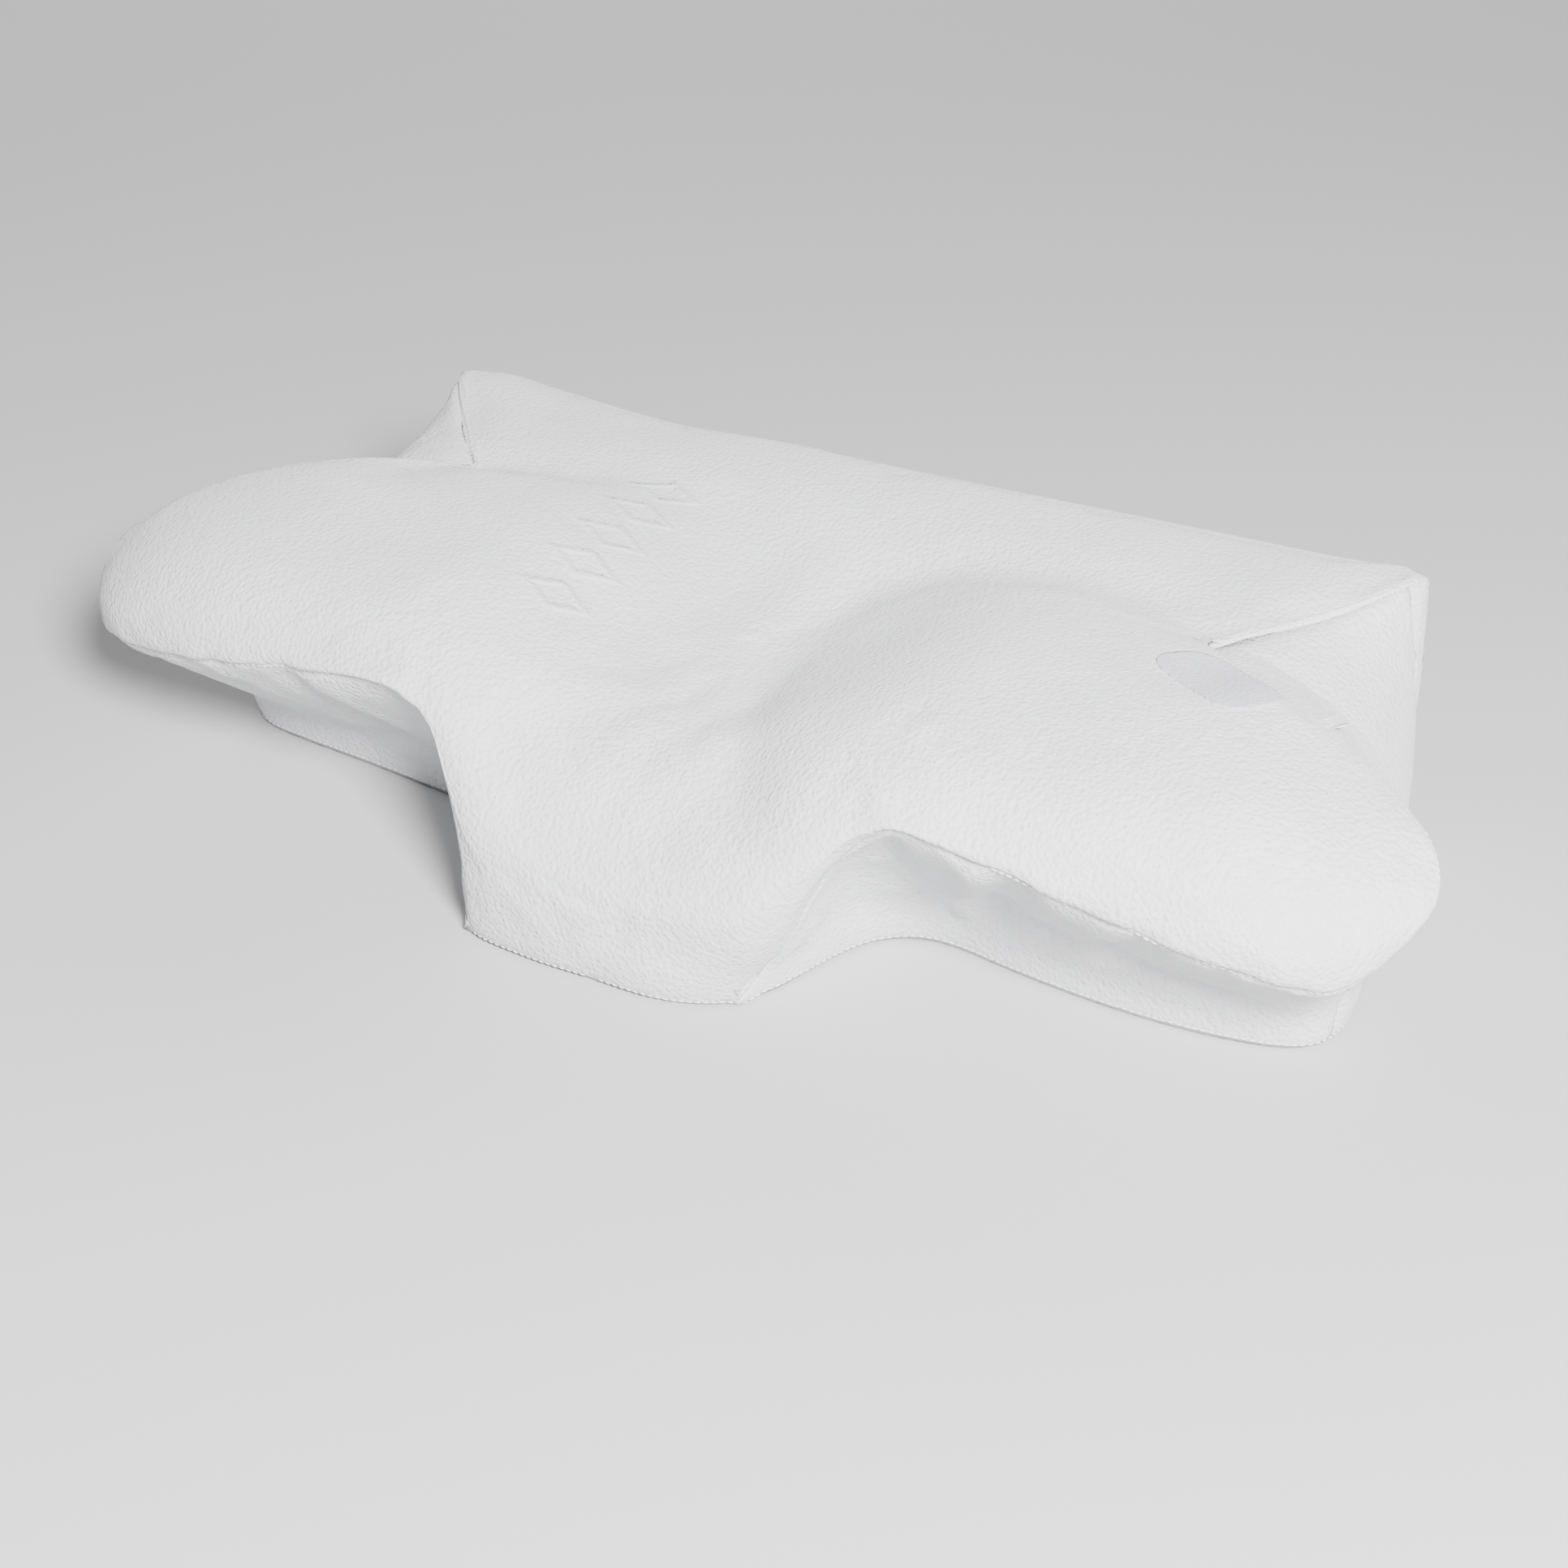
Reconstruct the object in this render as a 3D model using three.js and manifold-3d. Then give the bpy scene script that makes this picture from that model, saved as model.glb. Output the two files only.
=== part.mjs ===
// Butterfly contour pillow: a moulded foam core, a thin inner liner and a zipped, sewn knit cover.
// Millimetres. +Z is up, +X runs across the shoulders and -Y points to the sleeper's neck.
// The origin is under the middle of the pillow, on the surface that it lies on.

import * as THREE from 'three';
import { mergeVertices } from 'three/addons/utils/BufferGeometryUtils.js';
import Module from 'manifold-3d';

// ---------- driving dimensions ----------

const TOP_Z = 122;              // rear block and wing tops
const ZIP_PLANE_Y = 138;        // outer face of the cover where the zip is sewn
const ZIP_TOP_Z = 32;           // lower edge of the top panel on the rear face
const ZIP_BOTTOM_Z = 12;        // upper edge of the bottom panel on the rear face
const BASE_EDGE_Z = 12;         // height at which the lower edge starts to round under
const BASE_EDGE_INSET = 5;      // how far the lower edge rounds under

const COVER_THICKNESS = 2.4;    // air-layer knit
const LINER_THICKNESS = 0.8;
const LAYER_GAP = 1.5;
const SEAM_HALF_GAP = 1.0;      // from a seam's line to each panel's edge
const THREAD_WIDTH = 0.7;
const SEAM_END_TRIM = 3;        // a seam's thread stops short of the next seam

// Zip: two tapes with a coil half each, a slider on the coils and its pull, and a stop at each end.
const ZIP_HALF_LENGTH = 202;
const ZIP_MIDDLE_Z = (ZIP_TOP_Z + ZIP_BOTTOM_Z) / 2;
const TAPE = { width: 8.2, thickness: 0.8, depth: 1.2, parting: 0.4 };
const COIL = { width: 2.2, thickness: 1.8, gapToTape: 0.3, parting: 0.3, halfLength: 192 };
const STOP = { length: 3, height: 5.2, gapToCoil: 0.4 };
const SLIDER = { length: 11, height: 7.4, plate: 1.4, flange: 0.9, clearance: 0.35, flangeDepth: 1.6 };
const SLIDER_TRAVEL = 372;
const BAIL = { halfLength: 3, bar: 1, opening: 1.7, width: 1.6 };
const PULL = { reach: 25, halfHeight: 2.9, thickness: 0.9, eyeInner: 4.2, eyeHalf: 1.5, bar: 0.4, gap: 0.4 };
const PULL_END_STEPS = 6;

// Blank label on the right wing and the folded tag in that wing's rear seam.
const LABEL = { x: 197, y: -4, length: 54, width: 31, angle: -31, thickness: 0.5, lift: 1.2, corner: 11 };
const LABEL_CORNER_STEPS = 4;
const LABEL_RINGS = [0.55, 1];
const TAG = { at: 14.6, length: 7, reach: 8, thickness: 0.8, gap: 0.5 };

const DOME_CELLS = 5;           // rows from the middle to the shoulder
const SHOULDER_CELLS = 4;       // rows round the shoulder
const WALL_CELLS = 3;           // rows from the shoulder to the top seam
const SIDE_CELLS = 5;           // rows from the top seam to the underside
const SEAM_ROW = DOME_CELLS + SHOULDER_CELLS + WALL_CELLS;
const UNDER_ROW = SEAM_ROW + SIDE_CELLS;
const EDGE_ROW = UNDER_ROW - 1;
const LOW_SEAM_EDGE_SHARE = 0.6; // where the seam is low, the wall's foot is this far up to it
const LOW_SEAM_ROW_SHARE = 0.3; // and the lowest row is this far from the foot to the seam
const SINK_STATIONS = 3;        // behind the tips, an inner layer's rim also sits lower
const MITRE_LIMIT = 0.5;        // keeps a sharp corner's offset short
const HALVING_STEPS = 24;       // when a profile's height is looked up
const SAME_PLACE_STEPS = 1e4;   // per millimetre: points that round alike are one vertex
const WELD_DISTANCE = 1e-3;

// Stations round the right half of the pillow, from the front middle to the rear middle.
// rim: where the shoulder ends. base: the lower edge in plan. shoulder: width of the rounding.
// turn: how far round the shoulder curls, in degrees, where 90 ends upright.
// lean: above 1, the wall keeps near its base and reaches the rim late. steps: columns to the next.
const STATIONS = [
  // name, rim, base, shoulder, turn, lean, steps
  ['front_middle', [0, -144, 40], [0, -142], 62, 90, 1.6, 1],
  ['front', [30, -144, 40], [30, -142], 60, 90, 1.6, 1],
  ['lobe_corner', [66, -141, 46], [62, -137], 56, 90, 1.6, 1],
  ['lobe_side_low', [84, -134, 64], [70, -120], 50, 90, 1.6, 1],
  ['lobe_side_mid', [98, -127, 79], [72, -98], 46, 92, 1.6, 1],
  ['lobe_side_high', [109, -122, 88], [77, -76], 44, 96, 1.6, 1],
  ['seam_peak', [121, -120, 92], [89, -60], 44, 102, 1.6, 1],
  ['wing_front_inner', [150, -117, 87], [115, -51], 46, 106, 1.6, 2],
  ['wing_front', [214, -112, 73], [180, -49], 50, 112, 1.6, 2],
  ['wing_front_outer', [260, -102, 62], [236, -46], 50, 114, 1.6, 1],
  ['tip_front', [286, -89, 56], [258, -41], 46, 112, 1.6, 1],
  ['tip', [300, -72, 66], [266, -31], 40, 106, 1.8, 1],
  ['tip_rear', [302, -55, 85], [267, -17], 30, 96, 2, 1],
  ['wing_rear_outer', [290, -38, 98], [265, -6], 20, 90, 3, 1],
  ['wing_rear', [264, -18, 110], [263, 4], 14, 90, 5, 1],
  ['wing_rear_inner', [222, 8, 117], [260, 16], 12, 90, 6, 1],
  ['notch_front', [188, 27, 118], [258, 27], 10, 90, 6, 1],
  ['notch', [178, 36, 118], [256, 38], 9, 90, 6, 1],
  ['notch_rear', [185, 47, 118], [254, 48], 9, 90, 6, 2],
  ['rear_corner', [235, 113, 119], [244, 110], 9, 90, 5, 1],
  ['rear_round', [232, 130, 112], [234, 131], 14, 90, 2, 1],
  ['rear_outer', [210, 138, 103], [206, ZIP_PLANE_Y], 20, 90, 1, 2],
  ['rear', [105, 139, 101], [105, ZIP_PLANE_Y], 21, 90, 1, 2],
  ['rear_middle', [0, 138, 100], [0, ZIP_PLANE_Y], 21, 90, 1, 0],
].map(([name, rim, base, shoulder, turn, lean, steps]) => (
  { name, rim, base, shoulder, turn, lean, steps }
));

// The top seam climbs the side of the front lobe, away from the rim, from its corner to its peak.
const LOBE_SEAM = [[62, -137, 0], [73, -119, 22], [83, -112, 50], [101, -115, 77], [121, -120, 92]];

// Heights of the top, across the middle and along the wings, as [y, z] from front to rear.
const MIDDLE_PROFILE = [
  [-160, 60], [-120, 84], [-85, 92], [-35, 90], [15, 94], [55, 106], [95, 118], [145, TOP_Z],
];
const WING_PROFILE = [
  [-160, 88], [-110, 106], [-70, 117], [-20, TOP_Z], [30, 120], [60, 118], [95, 120], [145, TOP_Z],
];
const VALLEY_INNER_X = 12;
const VALLEY_OUTER_X = 118;
const TIP_FALL_START_X = 205;
const TIP_FALL_LENGTH = 100;
const TIP_FALL = 30;
const TIP_FALL_REAR_Y = [20, 60];

// ---------- the pillow's outer surface ----------

const lerp = THREE.MathUtils.lerp;
const smoothstep = THREE.MathUtils.smoothstep;

function stationIndex(name) {
  return STATIONS.findIndex((station) => station.name === name);
}

const LOBE_CORNER = stationIndex('lobe_corner');
const SEAM_PEAK = stationIndex('seam_peak');
const TIP = stationIndex('tip');
const REAR_CORNER = stationIndex('rear_corner');
const ZIP_END = stationIndex('rear_outer');
const LAST_STATION = STATIONS.length - 1;

function curveThrough(points) {
  return new THREE.CatmullRomCurve3(points.map((p) => new THREE.Vector3(...p)), false, 'catmullrom');
}

const RIM_CURVE = curveThrough(STATIONS.map((s) => s.rim));
const BASE_CURVE = curveThrough(STATIONS.map((s) => [...s.base, 0]));
const LOBE_SEAM_CURVE = curveThrough(LOBE_SEAM);
const MIDDLE_CURVE = curveThrough(MIDDLE_PROFILE.map(([y, z]) => [y, z, 0]));
const WING_CURVE = curveThrough(WING_PROFILE.map(([y, z]) => [y, z, 0]));

/** Height of a profile curve at y, found by halving, because y only grows along it. */
function profileHeight(curve, y) {
  let low = 0;
  let high = 1;
  for (let step = 0; step < HALVING_STEPS; step += 1) {
    const middle = (low + high) / 2;
    if (curve.getPoint(middle).x < y) low = middle;
    else high = middle;
  }
  return curve.getPoint(low).y;
}

/** Height of the top at a place in plan: two wings, a rear block and the valley between them. */
function topHeight(x, y) {
  const side = Math.abs(x);
  const wingShare = smoothstep(side, VALLEY_INNER_X, VALLEY_OUTER_X);
  const height = lerp(profileHeight(MIDDLE_CURVE, y), profileHeight(WING_CURVE, y), wingShare);
  const outward = Math.max(0, side - TIP_FALL_START_X) / TIP_FALL_LENGTH;
  const onWing = 1 - smoothstep(y, ...TIP_FALL_REAR_Y);
  return height - TIP_FALL * outward ** 2 * onWing;
}

function stationValue(at, key) {
  const before = Math.min(Math.floor(at), LAST_STATION - 1);
  return lerp(STATIONS[before][key], STATIONS[before + 1][key], at - before);
}

/** Rows down a wall from its top to height lowest, closer together where the wall bends. */
function wallRows(at, top, edge, lowest, count) {
  const lean = stationValue(at, 'lean');
  const lowShare = (lowest - edge.z) / (top.z - edge.z);
  return Array.from({ length: count }, (_, i) => {
    const share = lerp(lowShare, 1, (1 - (i + 1) / count) ** (1 / Math.sqrt(lean)));
    const point = edge.clone().lerp(top, share ** lean);
    return point.setZ(lerp(edge.z, top.z, share));
  });
}

/** Rows from the middle of the top out to the rim. */
function domeAndShoulder(at, rim, depth) {
  const shoulder = stationValue(at, 'shoulder');
  const turn = THREE.MathUtils.degToRad(stationValue(at, 'turn'));
  const reach = Math.hypot(rim.x, rim.y);
  const start = reach - shoulder;
  const placeAt = (radius) => [(rim.x * radius) / reach, (rim.y * radius) / reach];
  const rows = [];
  for (let i = 0; i <= DOME_CELLS; i += 1) {
    const [x, y] = placeAt((start * i) / DOME_CELLS);
    rows.push(new THREE.Vector3(x, y, topHeight(x, y) - depth));
  }
  for (let i = 1; i <= SHOULDER_CELLS; i += 1) {
    const angle = (turn * i) / SHOULDER_CELLS;
    const [x, y] = placeAt(start + (shoulder * Math.sin(angle)) / Math.sin(turn));
    const share = (Math.cos(angle) - Math.cos(turn)) / (1 - Math.cos(turn));
    rows.push(new THREE.Vector3(x, y, lerp(rim.z, topHeight(x, y) - depth, share)));
  }
  return rows;
}

/** The way into the pillow, square to a curve in plan. */
function inwardsFrom(curve, share) {
  const along = curve.getTangent(share).setZ(0).normalize();
  return new THREE.Vector3(-along.y, along.x, 0);
}

function insetPoint(curve, share, depth) {
  return curve.getPoint(share).addScaledVector(inwardsFrom(curve, share), depth);
}

/** The top seam where it climbs the lobe's side, which faces between the rim and the base there. */
function lobeSeamPoint(at, depth) {
  const share = at / LAST_STATION;
  const inwards = inwardsFrom(RIM_CURVE, share).add(inwardsFrom(BASE_CURVE, share)).normalize();
  const climb = (at - LOBE_CORNER) / (SEAM_PEAK - LOBE_CORNER);
  return LOBE_SEAM_CURVE.getPoint(climb).addScaledVector(inwards, depth);
}

/** The foot of the wall: its upright edge and the point that it rounds under to. */
function footPoints(at, seamZ, depth) {
  const base = insetPoint(BASE_CURVE, at / LAST_STATION, depth);
  const under = base.clone().multiplyScalar(1 - BASE_EDGE_INSET / base.length()).setZ(depth);
  const edge = base.clone().setZ(Math.min(BASE_EDGE_Z, seamZ * LOW_SEAM_EDGE_SHARE));
  return { edge, under };
}

function repeated(point, count) {
  return Array.from({ length: count }, () => point.clone());
}

/** Front of the lobe: the top panel runs down to the underside. */
function frontColumn(at, rim, depth) {
  const { edge, under } = footPoints(at, rim.z, depth);
  return [...wallRows(at, rim, edge, edge.z, WALL_CELLS - 1), ...repeated(under, SIDE_CELLS + 1)];
}

/** Rear face: the top panel runs down to the zip. */
function rearColumn(at, rim, depth) {
  const { edge, under } = footPoints(at, rim.z, depth);
  const wall = wallRows(at, rim, edge, ZIP_TOP_Z, WALL_CELLS);
  return [...wall, ...repeated(wall[WALL_CELLS - 1], SIDE_CELLS - 2), edge, under];
}

/** Sides: the top panel ends at the seam and a side panel runs down from it. */
function sideColumn(at, rim, depth) {
  const seam = at < SEAM_PEAK ? lobeSeamPoint(at, depth) : rim;
  const wall = Array.from({ length: WALL_CELLS }, (_, i) => rim.clone().lerp(seam, (i + 1) / WALL_CELLS));
  const { edge, under } = footPoints(at, seam.z, depth);
  if (seam.z < ZIP_TOP_Z) return [...wall, ...repeated(edge, SIDE_CELLS - 1), under];
  const lowest = Math.min(ZIP_TOP_Z, lerp(edge.z, seam.z, LOW_SEAM_ROW_SHARE));
  return [...wall, ...wallRows(at, seam, edge, lowest, SIDE_CELLS - 2), edge, under];
}

/** One column of the surface at a depth, from the middle of the top to the middle of the underside. */
function column(at, kind, mirrored, depth) {
  const rim = insetPoint(RIM_CURVE, at / LAST_STATION, depth);
  rim.z -= depth * smoothstep(at, TIP, TIP + SINK_STATIONS);
  const rest = { front: frontColumn, side: sideColumn, rear: rearColumn }[kind](at, rim, depth);
  const rows = [...domeAndShoulder(at, rim, depth), ...rest, new THREE.Vector3(0, 0, depth)];
  rows.forEach((point) => point.setX(mirrored ? -point.x : point.x));
  return { at, kind, mirrored, rows };
}

function columnKind(at) {
  if (at <= LOBE_CORNER) return 'front';
  return at <= REAR_CORNER ? 'side' : 'rear';
}

/** Columns all the way round. A rear corner has two, because the top seam turns down there. */
function makeColumns() {
  const plan = [];
  STATIONS.forEach((station, index) => {
    plan.push([index, columnKind(index)]);
    if (index === REAR_CORNER) plan.push([index, 'rear']);
    for (let step = 1; step < station.steps; step += 1) {
      const at = index + step / station.steps;
      plan.push([at, columnKind(at)]);
    }
  });
  const right = plan.map(([at, kind]) => column(at, kind, false, 0));
  const left = plan.slice(1, -1).reverse().map(([at, kind]) => column(at, kind, true, 0));
  return [...right, ...left];
}

const COLUMNS = makeColumns();

// ---------- one shared set of vertices and triangles ----------

const VERTICES = [];
const VERTEX_NUMBERS = new Map();

function vertexNumber(point) {
  const key = point.toArray().map((value) => Math.round(value * SAME_PLACE_STEPS)).join(',');
  if (!VERTEX_NUMBERS.has(key)) {
    VERTEX_NUMBERS.set(key, VERTICES.length);
    VERTICES.push(point);
  }
  return VERTEX_NUMBERS.get(key);
}

const GRID = COLUMNS.map((col) => col.rows.map(vertexNumber));

/** The sewn piece that a cell of the surface belongs to. */
function pieceOf(columnA, columnB, row) {
  const side = columnA.mirrored || columnB.mirrored ? 'left' : 'right';
  const onRear = columnA.kind === 'rear' && columnB.kind === 'rear';
  if (row >= UNDER_ROW) return 'bottom';
  if (row < SEAM_ROW) return 'top';
  if (!onRear) return `${(columnA.at + columnB.at) / 2 < TIP ? 'front' : 'rear'}_${side}`;
  if (row === EDGE_ROW) return 'rear_strip';
  return Math.min(columnA.at, columnB.at) >= ZIP_END ? 'zip_slot' : 'top';
}

/** Every triangle of the surface, as three vertex numbers and the piece it belongs to. Rows that
 * share a place leave triangles with no area, which are dropped. */
function makeTriangles() {
  const triangles = [];
  COLUMNS.forEach((columnA, j) => {
    const next = (j + 1) % COLUMNS.length;
    const columnB = COLUMNS[next];
    if (columnA.at === columnB.at) return;
    for (let row = 0; row < columnA.rows.length - 1; row += 1) {
      const [a, b] = [GRID[j][row], GRID[j][row + 1]];
      const [d, c] = [GRID[next][row], GRID[next][row + 1]];
      const mirrored = columnA.mirrored || columnB.mirrored;
      const halves = mirrored ? [[b, c, d], [b, d, a]] : [[a, b, c], [a, c, d]];
      const piece = pieceOf(columnA, columnB, row);
      const real = halves.filter((corners) => new Set(corners).size === 3);
      real.forEach((corners) => triangles.push({ corners, piece }));
    }
  });
  return triangles;
}

const TRIANGLES = makeTriangles();

function faceNormal([a, b, c]) {
  const ab = VERTICES[b].clone().sub(VERTICES[a]);
  const ac = VERTICES[c].clone().sub(VERTICES[a]);
  return ab.cross(ac).normalize();
}

/** The surface's points at a depth under the outside of the cover, one for each vertex number. */
function makeLayer(depth) {
  const points = [];
  COLUMNS.forEach(({ at, kind, mirrored }, j) => {
    column(at, kind, mirrored, depth).rows.forEach((point, row) => { points[GRID[j][row]] = point; });
  });
  return points;
}

const THREAD_LAYER = makeLayer(COVER_THICKNESS / 2);

// ---------- solids made from the shared surface ----------

function geometryFrom(points, faces) {
  const geometry = new THREE.BufferGeometry();
  geometry.setAttribute('position', new THREE.Float32BufferAttribute(points.flatMap((p) => p.toArray()), 3));
  geometry.setIndex(faces.flat());
  geometry.computeVertexNormals();
  return geometry;
}

function edgesWithOneFace(faces) {
  const edges = new Map();
  faces.forEach((corners) => corners.forEach((from, i) => {
    const to = corners[(i + 1) % 3];
    edges.set(`${from},${to}`, [from, to]);
  }));
  return [...edges.values()].filter(([from, to]) => !edges.has(`${to},${from}`));
}

/** At each vertex on a panel's edge, the move that takes that edge in by one millimetre. */
function edgeMoves(faces) {
  const moves = new Map();
  edgesWithOneFace(faces).forEach(([from, to]) => {
    const along = VERTICES[to].clone().sub(VERTICES[from]).normalize();
    const face = faces.find((corners) => corners.includes(from) && corners.includes(to));
    const inwards = faceNormal(face).cross(along).normalize();
    [from, to].forEach((number) => moves.set(number, [...(moves.get(number) ?? []), inwards]));
  });
  moves.forEach((sides, number) => {
    const mean = sides.reduce((sum, side) => sum.add(side), new THREE.Vector3()).normalize();
    const spread = Math.min(...sides.map((side) => side.dot(mean)));
    moves.set(number, mean.multiplyScalar(1 / Math.max(spread, MITRE_LIMIT)));
  });
  return moves;
}

/** A closed sheet between two depths under the surface, its edges drawn back from the seams. */
function sheetGeometry(pieces, outerDepth, innerDepth) {
  const faces = TRIANGLES.filter(({ piece }) => pieces.includes(piece)).map(({ corners }) => corners);
  const moves = edgeMoves(faces);
  const numbers = [...new Set(faces.flat())];
  const order = new Map(numbers.map((number, i) => [number, i]));
  const layer = (depth) => {
    const points = makeLayer(depth);
    return numbers.map((number) => {
      const move = moves.get(number) ?? new THREE.Vector3();
      return points[number].clone().addScaledVector(move, SEAM_HALF_GAP);
    });
  };
  const outer = faces.map((corners) => corners.map((corner) => order.get(corner)));
  const inner = outer.map(([a, b, c]) => [a + numbers.length, c + numbers.length, b + numbers.length]);
  const walls = edgesWithOneFace(outer).flatMap(([from, to]) => [
    [to, from, from + numbers.length],
    [to, from + numbers.length, to + numbers.length],
  ]);
  return geometryFrom([...layer(outerDepth), ...layer(innerDepth)], [...outer, ...inner, ...walls]);
}

function coreGeometry(depth) {
  return geometryFrom(makeLayer(depth), TRIANGLES.map(({ corners }) => corners));
}

/** A square thread laid along a row of surface vertices, in the middle of the cover's thickness. */
function threadGeometry(numbers) {
  const ordered = [...numbers].reverse();
  const path = ordered.map((number) => THREAD_LAYER[number].clone());
  trimEnd(path);
  path.reverse();
  trimEnd(path);
  path.reverse();
  const inwards = ordered.map((number) => THREAD_LAYER[number].clone().sub(VERTICES[number]).normalize());
  const points = path.flatMap((point, i) => {
    const before = path[Math.max(i - 1, 0)];
    const after = path[Math.min(i + 1, path.length - 1)];
    const along = after.clone().sub(before).normalize();
    const across = along.clone().cross(inwards[i]).normalize().multiplyScalar(THREAD_WIDTH / 2);
    const rise = across.clone().cross(along);
    return [[1, 1], [-1, 1], [-1, -1], [1, -1]].map(([s, t]) => (
      point.clone().addScaledVector(across, s).addScaledVector(rise, t)
    ));
  });
  return geometryFrom(points, tubeFaces(path.length));
}

/** Shortens a path's last stretch, and never by more than half of it. */
function trimEnd(path) {
  const last = path.length - 1;
  const back = path[last - 1].clone().sub(path[last]);
  const trim = Math.min(SEAM_END_TRIM, back.length() / 2);
  path[last].addScaledVector(back.normalize(), trim);
}

function tubeFaces(rings) {
  const faces = [[0, 1, 2], [0, 2, 3]];
  for (let ring = 0; ring < rings - 1; ring += 1) {
    for (let side = 0; side < 4; side += 1) {
      const [a, b] = [ring * 4 + side, ring * 4 + ((side + 1) % 4)];
      faces.push([a, a + 4, b + 4], [a, b + 4, b]);
    }
  }
  const end = (rings - 1) * 4;
  return [...faces, [end, end + 2, end + 1], [end, end + 3, end + 2]];
}

// ---------- label and tag ----------

function roundedRectangle(length, width, corner) {
  const [x, y] = [length / 2, width / 2];
  const shape = new THREE.Shape();
  shape.moveTo(-x + corner, -y);
  shape.lineTo(x - corner, -y);
  shape.absarc(x - corner, -y + corner, corner, -Math.PI / 2, 0);
  shape.absarc(x - corner, y - corner, corner, 0, Math.PI / 2);
  shape.absarc(-x + corner, y - corner, corner, Math.PI / 2, Math.PI);
  shape.absarc(-x + corner, -y + corner, corner, Math.PI, Math.PI * 1.5);
  return shape.getPoints(LABEL_CORNER_STEPS).slice(0, -1);
}

/** Height of the faceted top over a place in plan. */
function facetHeight(x, y) {
  const heights = TRIANGLES.filter(({ piece }) => piece === 'top').map(({ corners }) => {
    const [a, b, c] = corners.map((corner) => VERTICES[corner]);
    const area = (b.x - a.x) * (c.y - a.y) - (c.x - a.x) * (b.y - a.y);
    const u = ((b.x - x) * (c.y - y) - (c.x - x) * (b.y - y)) / area;
    const v = ((c.x - x) * (a.y - y) - (a.x - x) * (c.y - y)) / area;
    return u >= 0 && v >= 0 && u + v <= 1 ? u * a.z + v * b.z + (1 - u - v) * c.z : 0;
  });
  return Math.max(...heights);
}

/** Triangles over a centre point and the rings of points round it. */
function ringFaces(count, rings) {
  const faces = [];
  for (let i = 0; i < count; i += 1) {
    const next = (i + 1) % count;
    faces.push([0, 1 + i, 1 + next]);
    for (let ring = 1; ring < rings; ring += 1) {
      const [inner, outer] = [1 + (ring - 1) * count, 1 + ring * count];
      faces.push([inner + i, outer + i, outer + next], [inner + i, outer + next, inner + next]);
    }
  }
  return faces;
}

/** A thin label that follows the top of the wing. */
function labelGeometry() {
  const angle = THREE.MathUtils.degToRad(LABEL.angle);
  const outline = roundedRectangle(LABEL.length, LABEL.width, LABEL.corner);
  const centre = new THREE.Vector2(0, 0);
  const ringOf = (share) => outline.map((p) => p.clone().multiplyScalar(share));
  const flat = [centre, ...LABEL_RINGS.flatMap(ringOf)];
  const layer = (lift) => flat.map((p) => {
    const { x, y } = p.clone().rotateAround(centre, angle).add(new THREE.Vector2(LABEL.x, LABEL.y));
    return new THREE.Vector3(x, y, facetHeight(x, y) + lift);
  });
  const top = ringFaces(outline.length, LABEL_RINGS.length);
  const size = flat.length;
  const under = top.map(([a, b, c]) => [a + size, c + size, b + size]);
  const walls = edgesWithOneFace(top).flatMap(([from, to]) => [
    [to, from, from + size],
    [to, from + size, to + size],
  ]);
  const points = [...layer(LABEL.lift + LABEL.thickness), ...layer(LABEL.lift)];
  return geometryFrom(points, [...top, ...under, ...walls]);
}

// ---------- zip ----------

/** A flat outline in X and Z, as thick as depth along Y from y outwards. */
function plateInXZ(shape, y, depth) {
  const settings = { depth, bevelEnabled: false, curveSegments: PULL_END_STEPS };
  const geometry = new THREE.ExtrudeGeometry(shape, settings);
  geometry.rotateX(Math.PI / 2);
  geometry.translate(0, y + depth, 0);
  return geometry;
}

const TAPE_Y = ZIP_PLANE_Y - TAPE.depth;
const COIL_Y = TAPE_Y + TAPE.thickness / 2 + COIL.gapToTape + COIL.thickness / 2;
const PLATE_Y = COIL_Y + COIL.thickness / 2 + SLIDER.clearance;
const PULL_Y = PLATE_Y + SLIDER.plate + PULL.gap;
const SLIDER_START_X = -SLIDER_TRAVEL / 2;

const wasm = await Module();
wasm.setup();

function solidFrom(geometry) {
  const bare = geometry.clone();
  bare.deleteAttribute('normal');
  bare.deleteAttribute('uv');
  const merged = mergeVertices(bare, WELD_DISTANCE);
  const vertProperties = merged.attributes.position.array;
  const triVerts = new Uint32Array(merged.index.array);
  return new wasm.Manifold(new wasm.Mesh({ numProp: 3, vertProperties, triVerts }));
}

function joined(geometryA, geometryB) {
  const mesh = solidFrom(geometryA).add(solidFrom(geometryB)).getMesh();
  const geometry = new THREE.BufferGeometry();
  geometry.setAttribute('position', new THREE.BufferAttribute(mesh.vertProperties, 3));
  geometry.setIndex(new THREE.BufferAttribute(mesh.triVerts, 1));
  geometry.computeVertexNormals();
  return geometry;
}

function shapeThrough(corners) {
  return new THREE.Shape(corners.map(([x, y]) => new THREE.Vector2(x, y)));
}

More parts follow.
